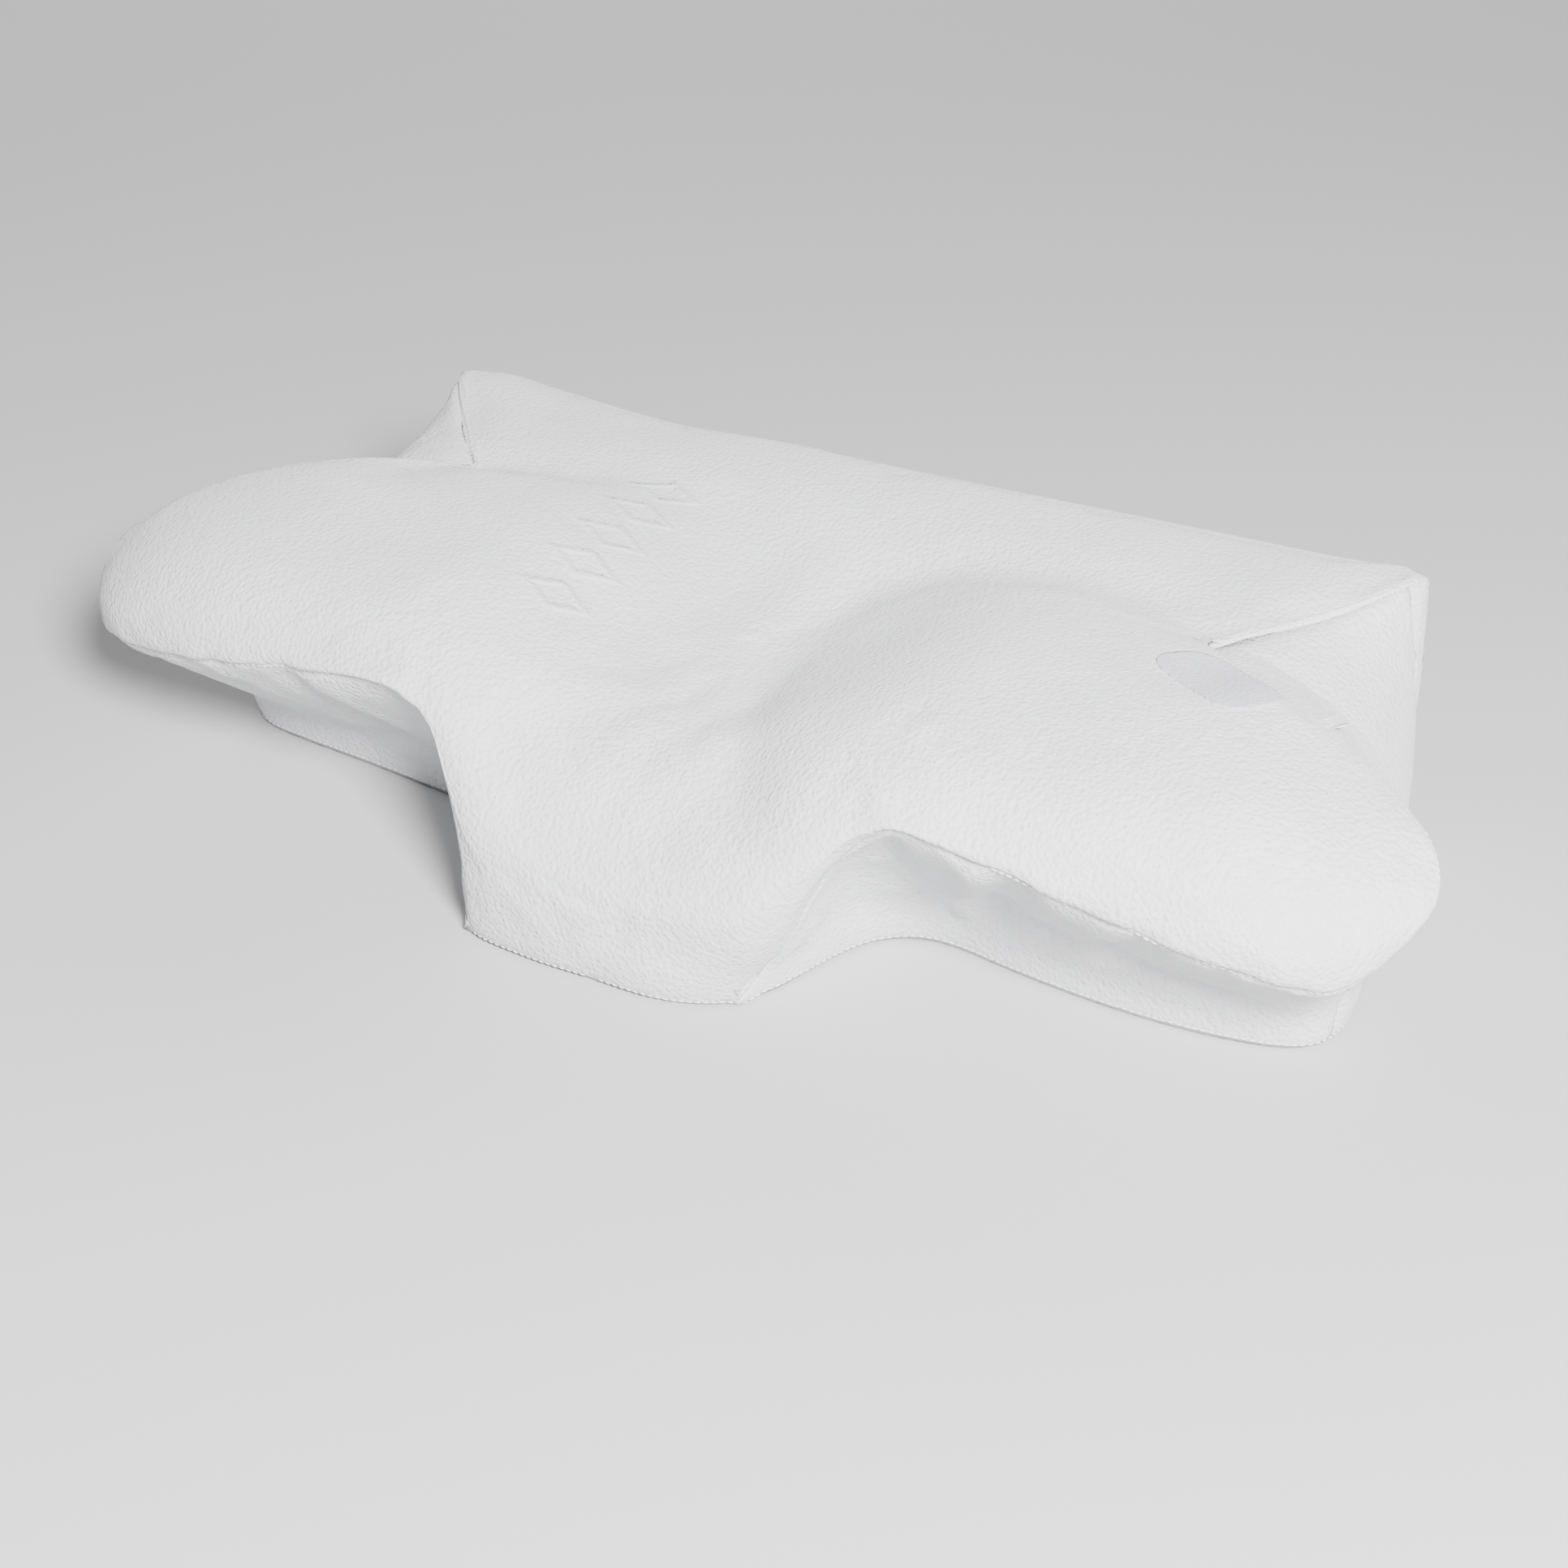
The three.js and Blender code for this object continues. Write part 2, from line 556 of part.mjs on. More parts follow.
/** The slider's body: a plate whose flanges hold the coils from above and below. */
function sliderBody() {
  const [outer, inner] = [SLIDER.height / 2, SLIDER.height / 2 - SLIDER.flange];
  const [back, plate, face] = [PLATE_Y - SLIDER.flangeDepth, PLATE_Y, PLATE_Y + SLIDER.plate];
  const channel = shapeThrough([
    [back, -outer], [face, -outer], [face, outer], [back, outer],
    [back, inner], [plate, inner], [plate, -inner], [back, -inner],
  ]);
  const body = new THREE.ExtrudeGeometry(channel, { depth: SLIDER.length, bevelEnabled: false });
  const alongX = new THREE.Vector3(1, 0, 0);
  const alongY = new THREE.Vector3(0, 1, 0);
  const alongZ = new THREE.Vector3(0, 0, 1);
  body.applyMatrix4(new THREE.Matrix4().makeBasis(alongY, alongZ, alongX));
  return body.translate(-SLIDER.length / 2, 0, 0);
}

/** The bail: a bridge on the slider that the pull's eye hooks under. */
function bailGeometry() {
  const [outer, inner] = [BAIL.halfLength, BAIL.halfLength - BAIL.bar];
  const root = PLATE_Y + SLIDER.plate - BAIL.bar / 2;
  const opening = PLATE_Y + SLIDER.plate + BAIL.opening;
  const top = opening + BAIL.bar;
  const bridge = shapeThrough([
    [-outer, root], [-inner, root], [-inner, opening], [inner, opening],
    [inner, root], [outer, root], [outer, top], [-outer, top],
  ]);
  const bail = new THREE.ExtrudeGeometry(bridge, { depth: BAIL.width, bevelEnabled: false });
  return bail.translate(0, 0, -BAIL.width / 2);
}

/** The pull: an eye round the bail's leg and a tab with a round end, lying flat along -X. */
function pullGeometry() {
  const half = PULL.halfHeight;
  const outline = new THREE.Shape();
  outline.moveTo(PULL.bar, -half);
  outline.lineTo(PULL.bar, half);
  outline.lineTo(half - PULL.reach, half);
  outline.absarc(half - PULL.reach, 0, half, Math.PI / 2, Math.PI * 1.5);
  const eye = new THREE.Path();
  eye.moveTo(-PULL.bar, -PULL.eyeHalf);
  eye.lineTo(-PULL.eyeInner, -PULL.eyeHalf);
  eye.lineTo(-PULL.eyeInner, PULL.eyeHalf);
  eye.lineTo(-PULL.bar, PULL.eyeHalf);
  outline.holes.push(eye);
  return plateInXZ(outline, PULL_Y, PULL.thickness);
}

// ---------- the pillow ----------

const FINISHES = {
  foam: { color: 0xf2efe4, roughness: 0.9 },
  liner: { color: 0xf4f4f2, roughness: 0.95 },
  knit: { color: 0xe9e9ec, roughness: 0.95 },
  base_fabric: { color: 0xdededf, roughness: 0.95 },
  thread: { color: 0xf3f3f4, roughness: 0.8 },
  zip_tape: { color: 0xe4e4e6, roughness: 0.9 },
  zip_coil: { color: 0xf0f0f0, roughness: 0.45 },
  zip_metal: { color: 0xc9cbd0, roughness: 0.3, metalness: 0.9 },
  label: { color: 0xd3d4d8, roughness: 0.7 },
};

const pillow = new THREE.Group();

function addPart(name, finish, geometry, position = [0, 0, 0]) {
  const material = new THREE.MeshStandardMaterial({ metalness: 0, ...FINISHES[finish] });
  const mesh = new THREE.Mesh(geometry, material);
  mesh.name = name;
  mesh.position.set(...position);
  pillow.add(mesh);
  return mesh;
}

function addCoreAndLiner() {
  const linerDepth = COVER_THICKNESS + LAYER_GAP;
  const linerInner = linerDepth + LINER_THICKNESS;
  const everyPiece = [...new Set(TRIANGLES.map(({ piece }) => piece))];
  addPart('foam_core', 'foam', coreGeometry(linerInner + LAYER_GAP));
  const upperPieces = everyPiece.filter((piece) => piece !== 'bottom');
  addPart('liner_upper', 'liner', sheetGeometry(upperPieces, linerDepth, linerInner));
  addPart('liner_lower', 'liner', sheetGeometry(['bottom'], linerDepth, linerInner));
}

function addCover() {
  const panel = (pieces) => sheetGeometry(pieces, 0, COVER_THICKNESS);
  addPart('cover_top_panel', 'knit', panel(['top']));
  ['left', 'right'].forEach((side) => {
    addPart(`cover_front_side_panel_${side}`, 'knit', panel([`front_${side}`]));
    addPart(`cover_rear_side_panel_${side}`, 'knit', panel([`rear_${side}`]));
  });
  addPart('cover_bottom_panel', 'base_fabric', panel(['bottom', 'rear_strip']));
}

/** Columns of one kind on one side, from front to rear. */
function columnNumbers(mirrored, from, to) {
  const numbers = COLUMNS.map((_, j) => j).filter((j) => {
    const { at, kind, mirrored: isMirrored } = COLUMNS[j];
    return kind !== 'rear' && at >= from && at <= to && (isMirrored === mirrored || at === 0);
  });
  return numbers.sort((j, k) => COLUMNS[j].at - COLUMNS[k].at);
}

function addSeams() {
  const ringAt = (mirrored, from, to, row) => columnNumbers(mirrored, from, to).map((j) => GRID[j][row]);
  const downFrom = (j) => GRID[j].slice(SEAM_ROW, UNDER_ROW + 1);
  const unique = (numbers) => [...new Set(numbers)];
  [['left', true], ['right', false]].forEach(([side, mirrored]) => {
    const corner = columnNumbers(mirrored, REAR_CORNER, REAR_CORNER)[0];
    const tip = columnNumbers(mirrored, TIP, TIP)[0];
    const topSeam = [...ringAt(mirrored, LOBE_CORNER, REAR_CORNER, SEAM_ROW), ...downFrom(corner)];
    addPart(`top_seam_thread_${side}`, 'thread', threadGeometry(unique(topSeam)));
    addPart(`tip_seam_thread_${side}`, 'thread', threadGeometry(unique(downFrom(tip))));
  });
  const leftBase = ringAt(true, 0, REAR_CORNER, UNDER_ROW).reverse();
  const rightBase = ringAt(false, 0, REAR_CORNER, UNDER_ROW);
  addPart('base_seam_thread', 'thread', threadGeometry(unique([...leftBase, ...rightBase])));
}

function addZip() {
  const tapeHeight = TAPE.parting + TAPE.width / 2;
  const coilHeight = COIL.parting + COIL.width / 2;
  [['upper', 1], ['lower', -1]].forEach(([name, sign]) => {
    const tape = new THREE.BoxGeometry(2 * ZIP_HALF_LENGTH, TAPE.thickness, TAPE.width);
    const coil = new THREE.BoxGeometry(2 * COIL.halfLength, COIL.thickness, COIL.width);
    addPart(`zip_tape_${name}`, 'zip_tape', tape, [0, TAPE_Y, ZIP_MIDDLE_Z + sign * tapeHeight]);
    addPart(`zip_coil_${name}`, 'zip_coil', coil, [0, COIL_Y, ZIP_MIDDLE_Z + sign * coilHeight]);
  });
  [['closed', -1], ['open', 1]].forEach(([name, sign]) => {
    const stop = new THREE.BoxGeometry(STOP.length, COIL.thickness, STOP.height);
    const x = sign * (COIL.halfLength + STOP.gapToCoil + STOP.length / 2);
    addPart(`zip_stop_${name}_end`, 'zip_metal', stop, [x, COIL_Y, ZIP_MIDDLE_Z]);
  });
  const sliderPlace = [SLIDER_START_X, 0, ZIP_MIDDLE_Z];
  addPart('zip_slider', 'zip_metal', joined(sliderBody(), bailGeometry()), sliderPlace);
  addPart('zip_pull', 'zip_metal', pullGeometry(), sliderPlace);
}

/** The folded tag stands out of the right wing's rear seam. */
function addTag() {
  const share = TAG.at / LAST_STATION;
  const place = RIM_CURVE.getPoint(share);
  const along = RIM_CURVE.getTangent(share).setZ(0).normalize();
  const outwards = new THREE.Vector3(along.y, -along.x, 0);
  const centre = place.addScaledVector(outwards, TAG.gap + TAG.reach / 2);
  const tag = new THREE.BoxGeometry(TAG.length, TAG.reach, TAG.thickness);
  const mesh = addPart('seam_tag', 'label', tag, centre.toArray());
  mesh.rotation.z = Math.atan2(along.y, along.x);
}

addCoreAndLiner();
addCover();
addSeams();
addZip();
addPart('wing_label', 'label', labelGeometry());
addTag();

export default pillow;
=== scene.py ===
"""Looks of the butterfly contour pillow: sewn knit cover, liner, foam core, zip, label and tag.

The cover's outside is one grid of columns (round the pillow) and rows (from the middle of the top to
the middle of the underside), with the stations of the CAD model. A cloth simulation fills it out with
its seams held, and it is then cut into the panels that are sewn together.
"""

import math

import bpy
import numpy as np
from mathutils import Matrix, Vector, noise
from mathutils.kdtree import KDTree


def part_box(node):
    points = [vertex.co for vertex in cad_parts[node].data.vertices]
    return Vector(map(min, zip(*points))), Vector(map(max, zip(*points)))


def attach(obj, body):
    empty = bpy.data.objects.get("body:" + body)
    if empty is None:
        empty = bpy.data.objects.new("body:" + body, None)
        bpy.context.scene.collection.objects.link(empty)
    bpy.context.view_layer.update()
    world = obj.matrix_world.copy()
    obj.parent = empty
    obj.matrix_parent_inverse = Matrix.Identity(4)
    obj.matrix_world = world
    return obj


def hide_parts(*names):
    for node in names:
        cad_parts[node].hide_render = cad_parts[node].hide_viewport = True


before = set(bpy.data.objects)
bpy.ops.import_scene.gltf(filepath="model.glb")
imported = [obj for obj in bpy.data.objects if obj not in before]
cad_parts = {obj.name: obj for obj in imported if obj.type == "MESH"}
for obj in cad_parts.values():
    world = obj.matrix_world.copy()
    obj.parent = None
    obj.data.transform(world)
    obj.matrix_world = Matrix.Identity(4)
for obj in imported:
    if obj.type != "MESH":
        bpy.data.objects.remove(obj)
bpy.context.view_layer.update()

MM = 0.001
ROOT = "pillow"

# ---------- the CAD model's stations, in millimetres ----------

TOP_Z = 122
ZIP_PLANE_Y = 138
ZIP_TOP_Z = 32
BASE_EDGE_Z = 12
BASE_EDGE_INSET = 5
LOW_SEAM_EDGE = 0.6     # under a low seam the lower edge starts at this share of the seam's height

# name, rim, base, width of the shoulder, angle it turns through in degrees, how the side leans in
STATIONS = [
    ("front_middle", (0, -144, 40), (0, -142), 62, 90, 1.6),
    ("front", (30, -144, 40), (30, -142), 60, 90, 1.6),
    ("lobe_corner", (66, -141, 46), (62, -137), 56, 90, 1.6),
    ("lobe_side_low", (84, -134, 64), (70, -120), 50, 90, 1.6),
    ("lobe_side_mid", (98, -127, 79), (72, -98), 46, 92, 1.6),
    ("lobe_side_high", (109, -122, 88), (77, -76), 44, 96, 1.6),
    ("seam_peak", (121, -120, 92), (89, -60), 44, 102, 1.6),
    ("wing_front_inner", (150, -117, 87), (115, -51), 46, 106, 1.6),
    ("wing_front", (214, -112, 73), (180, -49), 50, 112, 1.6),
    ("wing_front_outer", (260, -102, 62), (236, -46), 50, 114, 1.6),
    ("tip_front", (286, -89, 56), (258, -41), 46, 112, 1.6),
    ("tip", (300, -72, 66), (266, -31), 40, 106, 1.8),
    ("tip_rear", (302, -55, 85), (267, -17), 30, 96, 2),
    ("wing_rear_outer", (290, -38, 98), (265, -6), 20, 90, 3),
    ("wing_rear", (264, -18, 110), (263, 4), 14, 90, 5),
    ("wing_rear_inner", (222, 8, 117), (260, 16), 12, 90, 6),
    ("notch_front", (188, 27, 118), (258, 27), 10, 90, 6),
    ("notch", (178, 36, 118), (256, 38), 9, 90, 6),
    ("notch_rear", (185, 47, 118), (254, 48), 9, 90, 6),
    ("rear_corner", (235, 113, 119), (244, 110), 9, 90, 5),
    ("rear_round", (232, 130, 112), (234, 131), 14, 90, 2),
    ("rear_outer", (210, 138, 103), (206, ZIP_PLANE_Y), 20, 90, 1),
    ("rear", (105, 139, 101), (105, ZIP_PLANE_Y), 21, 90, 1),
    ("rear_middle", (0, 138, 100), (0, ZIP_PLANE_Y), 21, 90, 1),
]
LOBE_SEAM = [(62, -137, 0), (73, -119, 22), (83, -112, 50), (101, -115, 77), (121, -120, 92)]
MIDDLE_PROFILE = [
    (-160, 60), (-120, 84), (-85, 92), (-35, 90), (15, 94), (55, 106), (95, 118), (145, TOP_Z),
]
WING_PROFILE = [
    (-160, 88), (-110, 106), (-70, 117), (-20, TOP_Z), (30, 120), (60, 118), (95, 120), (145, TOP_Z),
]
VALLEY_X = (12, 118)
TIP_FALL_START_X, TIP_FALL_LENGTH, TIP_FALL, TIP_FALL_REAR_Y = 205, 100, 30, (20, 60)
SINK_STATIONS = 3       # an inner layer's rim sinks to its depth over this many stations behind the tip
SHOULDER, TURN, LEAN = 3, 4, 5

NAMES = [s[0] for s in STATIONS]
LOBE_CORNER, SEAM_PEAK, TIP, REAR_CORNER, ZIP_END = (
    NAMES.index(n) for n in ("lobe_corner", "seam_peak", "tip", "rear_corner", "rear_outer")
)
LAST = len(STATIONS) - 1

# ---------- this model's own detail ----------

COLUMN_STEP = 5.0       # mm between columns round the rim
DOME_CELLS, SHOULDER_CELLS, WALL_CELLS, SIDE_CELLS = 30, 14, 16, 22
FOOT_SHARES = (1 / 3, 2 / 3, 1)     # rows of the rounded lower edge
FOOT_CELLS = len(FOOT_SHARES)
FOOT_CORNER = 0.35      # how far the lower edge is rounded, from its corner towards its chord
SEAM_ROW = DOME_CELLS + SHOULDER_CELLS + WALL_CELLS
UNDER_ROW = SEAM_ROW + SIDE_CELLS
EDGE_ROW = UNDER_ROW - FOOT_CELLS
UNDER_CELLS = 6
HEIGHT_SAMPLES = 600    # points at which the top's two profiles are looked up
ROW_CROWDING = 0.6      # how much closer together a wide shoulder's rows are towards the seam
CROWDED_SHOULDER = (20, 44)

# ---------- curves ----------


def smoothstep(x, low, high):
    t = np.clip((np.asarray(x, float) - low) / (high - low), 0, 1)
    return t * t * (3 - 2 * t)


def lerp(a, b, t):
    return a + (b - a) * t


class Curve:
    """A Catmull-Rom curve whose share runs evenly from one point to the next."""

    def __init__(self, points):
        p = np.array(points, float)
        self.points = np.vstack([2 * p[0] - p[1], p, 2 * p[-1] - p[-2]])
        self.spans = len(p) - 1

    def at(self, share):
        place = min(max(share, 0.0), 1.0) * self.spans
        span = min(int(place), self.spans - 1)
        t = place - span
        a, b, c, d = self.points[span : span + 4]
        square, cube = 2 * a - 5 * b + 4 * c - d, 3 * b - a - 3 * c + d
        return 0.5 * (2 * b + (c - a) * t + square * t**2 + cube * t**3)

    def inwards(self, share):
        """The way into the pillow in plan, square to the curve."""
        step = 0.5e-4
        along = self.at(share + step)[:2] - self.at(share - step)[:2]
        along /= np.linalg.norm(along)
        return np.array([-along[1], along[0], 0.0])

    def height_table(self):
        samples = np.array([self.at(s) for s in np.linspace(0, 1, HEIGHT_SAMPLES)])
        return samples[:, 0], samples[:, 1]


RIM = Curve([s[1] for s in STATIONS])
BASE = Curve([(*s[2], 0) for s in STATIONS])
LOBE = Curve(LOBE_SEAM)
MIDDLE_Y, MIDDLE_Z = Curve(MIDDLE_PROFILE).height_table()
WING_Y, WING_Z = Curve(WING_PROFILE).height_table()


def top_height(x, y):
    side = abs(x)
    share = smoothstep(side, *VALLEY_X)
    height = lerp(np.interp(y, MIDDLE_Y, MIDDLE_Z), np.interp(y, WING_Y, WING_Z), share)
    outward = max(0.0, side - TIP_FALL_START_X) / TIP_FALL_LENGTH
    return height - TIP_FALL * outward**2 * (1 - smoothstep(y, *TIP_FALL_REAR_Y))


def station_value(at, index):
    before = min(int(at), LAST - 1)
    return lerp(STATIONS[before][index], STATIONS[before + 1][index], at - before)


def wall_rows(at, top, edge, lowest, count):
    lean = station_value(at, LEAN)
    low_share = (lowest - edge[2]) / (top[2] - edge[2])
    rows = []
    for i in range(count):
        share = lerp(low_share, 1, (1 - (i + 1) / count) ** (1 / math.sqrt(lean)))
        point = lerp(edge, top, share**lean)
        rows.append(np.array([point[0], point[1], lerp(edge[2], top[2], share)]))
    return rows


def dome_and_shoulder(at, rim, depth):
    shoulder, turn = station_value(at, SHOULDER), math.radians(station_value(at, TURN))
    reach = math.hypot(rim[0], rim[1])
    start = reach - shoulder
    crowding = 1 + ROW_CROWDING * float(smoothstep(shoulder, *CROWDED_SHOULDER))
    rows = []
    for i in range(DOME_CELLS + 1):
        x, y = rim[:2] * start * (i / DOME_CELLS) / reach
        rows.append(np.array([x, y, top_height(x, y) - depth]))
    for i in range(1, SHOULDER_CELLS + 1):
        angle = turn * (1 - (1 - i / SHOULDER_CELLS) ** crowding)
        x, y = rim[:2] * (start + shoulder * math.sin(angle) / math.sin(turn)) / reach
        share = (math.cos(angle) - math.cos(turn)) / (1 - math.cos(turn))
        rows.append(np.array([x, y, lerp(rim[2], top_height(x, y) - depth, share)]))
    return rows


def foot_points(at, seam_z, depth):
    base = BASE.at(at / LAST) + BASE.inwards(at / LAST) * depth
    under = base * (1 - BASE_EDGE_INSET / np.linalg.norm(base[:2]))
    under[2] = depth
    edge = base.copy()
    edge[2] = min(BASE_EDGE_Z, seam_z * LOW_SEAM_EDGE)
    return edge, under


def foot_rows(edge, under):
    """The rounded lower edge, in place of the CAD model's chamfer."""
    corner = np.array([edge[0], edge[1], under[2]])
    pull = lerp(corner, (edge + under) / 2, FOOT_CORNER)
    return [(1 - t) ** 2 * edge + 2 * t * (1 - t) * pull + t * t * under for t in FOOT_SHARES]


def spread(points, count):
    """The same points over more rows, some of them repeated, so that two columns share every point."""
    return [points[i * len(points) // count].copy() for i in range(count)]


def column_rows(at, kind, depth):
    share = at / LAST
    rim = RIM.at(share) + RIM.inwards(share) * depth
    rim[2] -= depth * smoothstep(at, TIP, TIP + SINK_STATIONS)
    rows = dome_and_shoulder(at, rim, depth)
    upper_side = SIDE_CELLS - FOOT_CELLS
    if kind == "front":
        edge, under = foot_points(at, rim[2], depth)
        rows += wall_rows(at, rim, edge, edge[2], WALL_CELLS)
        rows += [edge.copy() for _ in range(upper_side)] + foot_rows(edge, under)
    elif kind == "rear" and at == REAR_CORNER:
        edge, under = foot_points(at, rim[2], depth)
        side = wall_rows(at, rim, edge, edge[2], upper_side)
        above = [p for p in side if p[2] >= ZIP_TOP_Z]
        rows += spread(above, WALL_CELLS) + spread(side[len(above) :], upper_side) + foot_rows(edge, under)
    elif kind == "rear":
        edge, under = foot_points(at, rim[2], depth)
        rows += wall_rows(at, rim, edge, ZIP_TOP_Z, WALL_CELLS)
        top = rows[-1]
        rows += [lerp(top, edge, (i + 1) / upper_side) for i in range(upper_side)] + foot_rows(edge, under)
    else:
        seam = rim
        if at < SEAM_PEAK:
            inwards = RIM.inwards(share) + BASE.inwards(share)
            climb = (at - LOBE_CORNER) / (SEAM_PEAK - LOBE_CORNER)
            seam = LOBE.at(climb) + inwards / np.linalg.norm(inwards) * depth
        rows += [lerp(rim, seam, (i + 1) / WALL_CELLS) for i in range(WALL_CELLS)]
        edge, under = foot_points(at, seam[2], depth)
        rows += wall_rows(at, seam, edge, edge[2], upper_side) + foot_rows(edge, under)
    centre = np.array([0, 0, depth])
    return rows + [lerp(rows[-1], centre, (i + 1) / UNDER_CELLS) for i in range(UNDER_CELLS)]


def column_plan():
    """(at, kind) for the right half, from the front middle to the rear middle."""
    plan = []
    for index in range(LAST):
        length = np.linalg.norm(RIM.at((index + 1) / LAST) - RIM.at(index / LAST))
        steps = max(3, round(length / COLUMN_STEP))
        for step in range(steps):
            at = index + step / steps
            kind = "front" if at <= LOBE_CORNER else "side" if at <= REAR_CORNER else "rear"
            plan.append((at, kind))
            if at == REAR_CORNER:
                plan.append((at, "rear"))
    return plan + [(float(LAST), "rear")]


PLAN = column_plan()
COLUMNS = [(at, kind, False) for at, kind in PLAN] + [(at, kind, True) for at, kind in PLAN[-2:0:-1]]


# ---------- folds ----------


def ridge(x, y, path, width):
    """1 on a path in plan and 0 beyond its width."""
    best = np.full(np.shape(x), 1e9)
    for (ax, ay), (bx, by) in zip(path, path[1:]):
        length = (bx - ax) ** 2 + (by - ay) ** 2
        t = np.clip(((x - ax) * (bx - ax) + (y - ay) * (by - ay)) / length, 0, 1)
        best = np.minimum(best, np.hypot(x - ax - t * (bx - ax), y - ay - t * (by - ay)))
    return np.exp(-((best / width) ** 2))


# Shallow folds of the top: each is a path in plan, a width and a depth in mm.
TOP_FOLDS = [
    ([(165, 47), (110, 58), (55, 56), (22, 40), (10, 8), (18, -45), (38, -92), (60, -132)], 16, 5.0),
    ([(-165, 47), (-110, 58), (-60, 54), (-30, 32), (-24, 0)], 18, 3.0),
    ([(20, -52), (13, -84), (4, -112)], 8, 1.6),
    ([(108, -72), (100, -98), (90, -118)], 3.2, 2.0),
    ([(120, -84), (111, -103), (103, -117)], 2.6, 1.6),
    ([(-108, -78), (-100, -100), (-92, -116)], 3.2, 1.4),
    ([(172, 40), (196, 18), (222, 2)], 7, 1.2),
    ([(-172, 40), (-120, 44)], 12, 4.0),
]


def top_folds(points):
    fall = np.zeros(len(points))
    for path, width, depth in TOP_FOLDS:
        fall = fall + depth * ridge(points[:, 0], points[:, 1], path, width)
    return fall


# Folds of the side panels below the wings: each is a path in X and Z on the right, a width and how far
# it stands out, in mm. The left side has them less deep.
SIDE_FOLDS = [
    ([(150, 80), (132, 52), (118, 24)], 7.0, 3.2),
    ([(166, 79), (148, 56), (132, 30)], 7.5, -4.2),
    ([(204, 70), (188, 54), (172, 36)], 6.0, 1.6),
    ([(218, 68), (200, 52), (184, 38)], 6.0, -2.8),
    ([(246, 62), (236, 44)], 4.0, -1.4),
    ([(116, 84), (106, 60)], 4.0, -1.0),
]
LEFT_FOLD_SHARE = 0.6
SIDE_FOLDS_BEFORE_Y, SIDE_FOLDS_BELOW_Z = -40, 90


def side_folds(points):
    out = np.zeros(len(points))
    for path, width, height in SIDE_FOLDS:
        out = out + height * ridge(abs(points[:, 0]), points[:, 2], path, width)
    on_front = (points[:, 1] < SIDE_FOLDS_BEFORE_Y) & (points[:, 2] < SIDE_FOLDS_BELOW_Z)
    return out * on_front * np.where(points[:, 0] < 0, LEFT_FOLD_SHARE, 1.0)


# How uneven the cloth is, as (size of a bump, height) in mm, all over and close to a seam.
UNEVEN = [(70, 1.3), (26, 0.45)]
PUCKERS = [(13, 1.3), (7, 0.6)]
PUCKER_REACH = 9
PUCKER_END_Y = (-20, 10)  # the seams behind the wings lie smooth


def unevenness(points, scales):
    return np.array([sum(h * noise.noise(Vector(p) / size) for size, h in scales) for p in points])


# ---------- how this one lies ----------


# Each soft push in mm: its middle, how far it reaches along X, Y and Z, and the move at the middle.
PUSHES = [
    ((-80, -136, 54), (36, 44, 34), (13, 0, 0)),      # the lobe's left corner stands steeper
    ((-110, -122, 86), (36, 40, 26), (15, 0, 0)),     # and so does its side, up to the seam's peak
    ((66, -130, 4), (24, 28, 22), (-6, 8, 0)),        # and the foot of its right corner is drawn in
    ((98, -60, 4), (30, 30, 26), (0, 7, 0)),          # the foot beside the lobe lies further back
    ((205, -49, 4), (60, 34, 24), (0, -7, 0)),        # and under the right wing further forward
    ((-195, -46, 4), (66, 34, 36), (0, 8, 0)),
    ((-252, -34, 4), (40, 40, 30), (10, 5, 0)),
    ((244, 122, 60), (24, 56, 130), (-9, 0, 0)),      # right rear corner
    ((240, 118, 120), (34, 50, 34), (0, 0, 4)),
    ((-136, 124, 122), (76, 56, 42), (0, 0, -7)),     # left half of the rear block is lower
    ((-236, 104, 112), (44, 60, 44), (-4, 0, 0)),
    ((304, -50, 98), (44, 54, 22), (7, 0, 2)),        # right wing's tip is blunter and thinner
    ((304, -78, 62), (34, 44, 18), (-6, 2, 2)),
    ((-290, -86, 62), (40, 54, 30), (5, 0, 6)),       # left wing's tip sits higher
]


def settled(points):
    """The points moved as this one pillow lies: soft, and not quite even left and right."""
    moved = points.copy()
    for middle, reach, move in PUSHES:
        apart = (points - np.array(middle, float)) / np.array(reach, float)
        moved += np.exp(-(apart**2).sum(axis=-1))[..., None] * np.array(move, float)
    moved[..., 2] = np.maximum(moved[..., 2], 0)
    return moved


# ---------- one closed surface ----------


def surface(depth):
    """Grid of points, columns by rows, in mm."""
    grid = []
    for at, kind, mirrored in COLUMNS:
        rows = np.array(column_rows(at, kind, depth))
        if mirrored:
            rows[:, 0] *= -1
        grid.append(rows)
    return settled(np.array(grid))


def piece_of(a, b, row):
    side = "left" if a[2] or b[2] else "right"
    if row >= UNDER_ROW:
        return "bottom"
    if row < SEAM_ROW:
        return "top"
    if not (a[1] == "rear" and b[1] == "rear"):
        if min(a[0], b[0]) <= LOBE_CORNER:
            return "top"
        return f"{'front' if (a[0] + b[0]) / 2 < TIP else 'rear'}_{side}"
    if row >= EDGE_ROW:
        return "bottom"
    return "zip_slot" if min(a[0], b[0]) >= ZIP_END else "top"


def numbered(grid):
    """Vertex numbers for the grid, with coinciding points merged, and the vertices."""
    keys, numbers, points = {}, np.zeros(grid.shape[:2], int), []
    for j in range(grid.shape[0]):
        for row in range(grid.shape[1]):
            key = tuple(np.round(grid[j, row], 3) + 0.0)
            if key not in keys:
                keys[key] = len(points)
                points.append(grid[j, row])
            numbers[j, row] = keys[key]
    return numbers, np.array(points)


OUTER = surface(0)
NUMBERS, POINTS = numbered(OUTER)


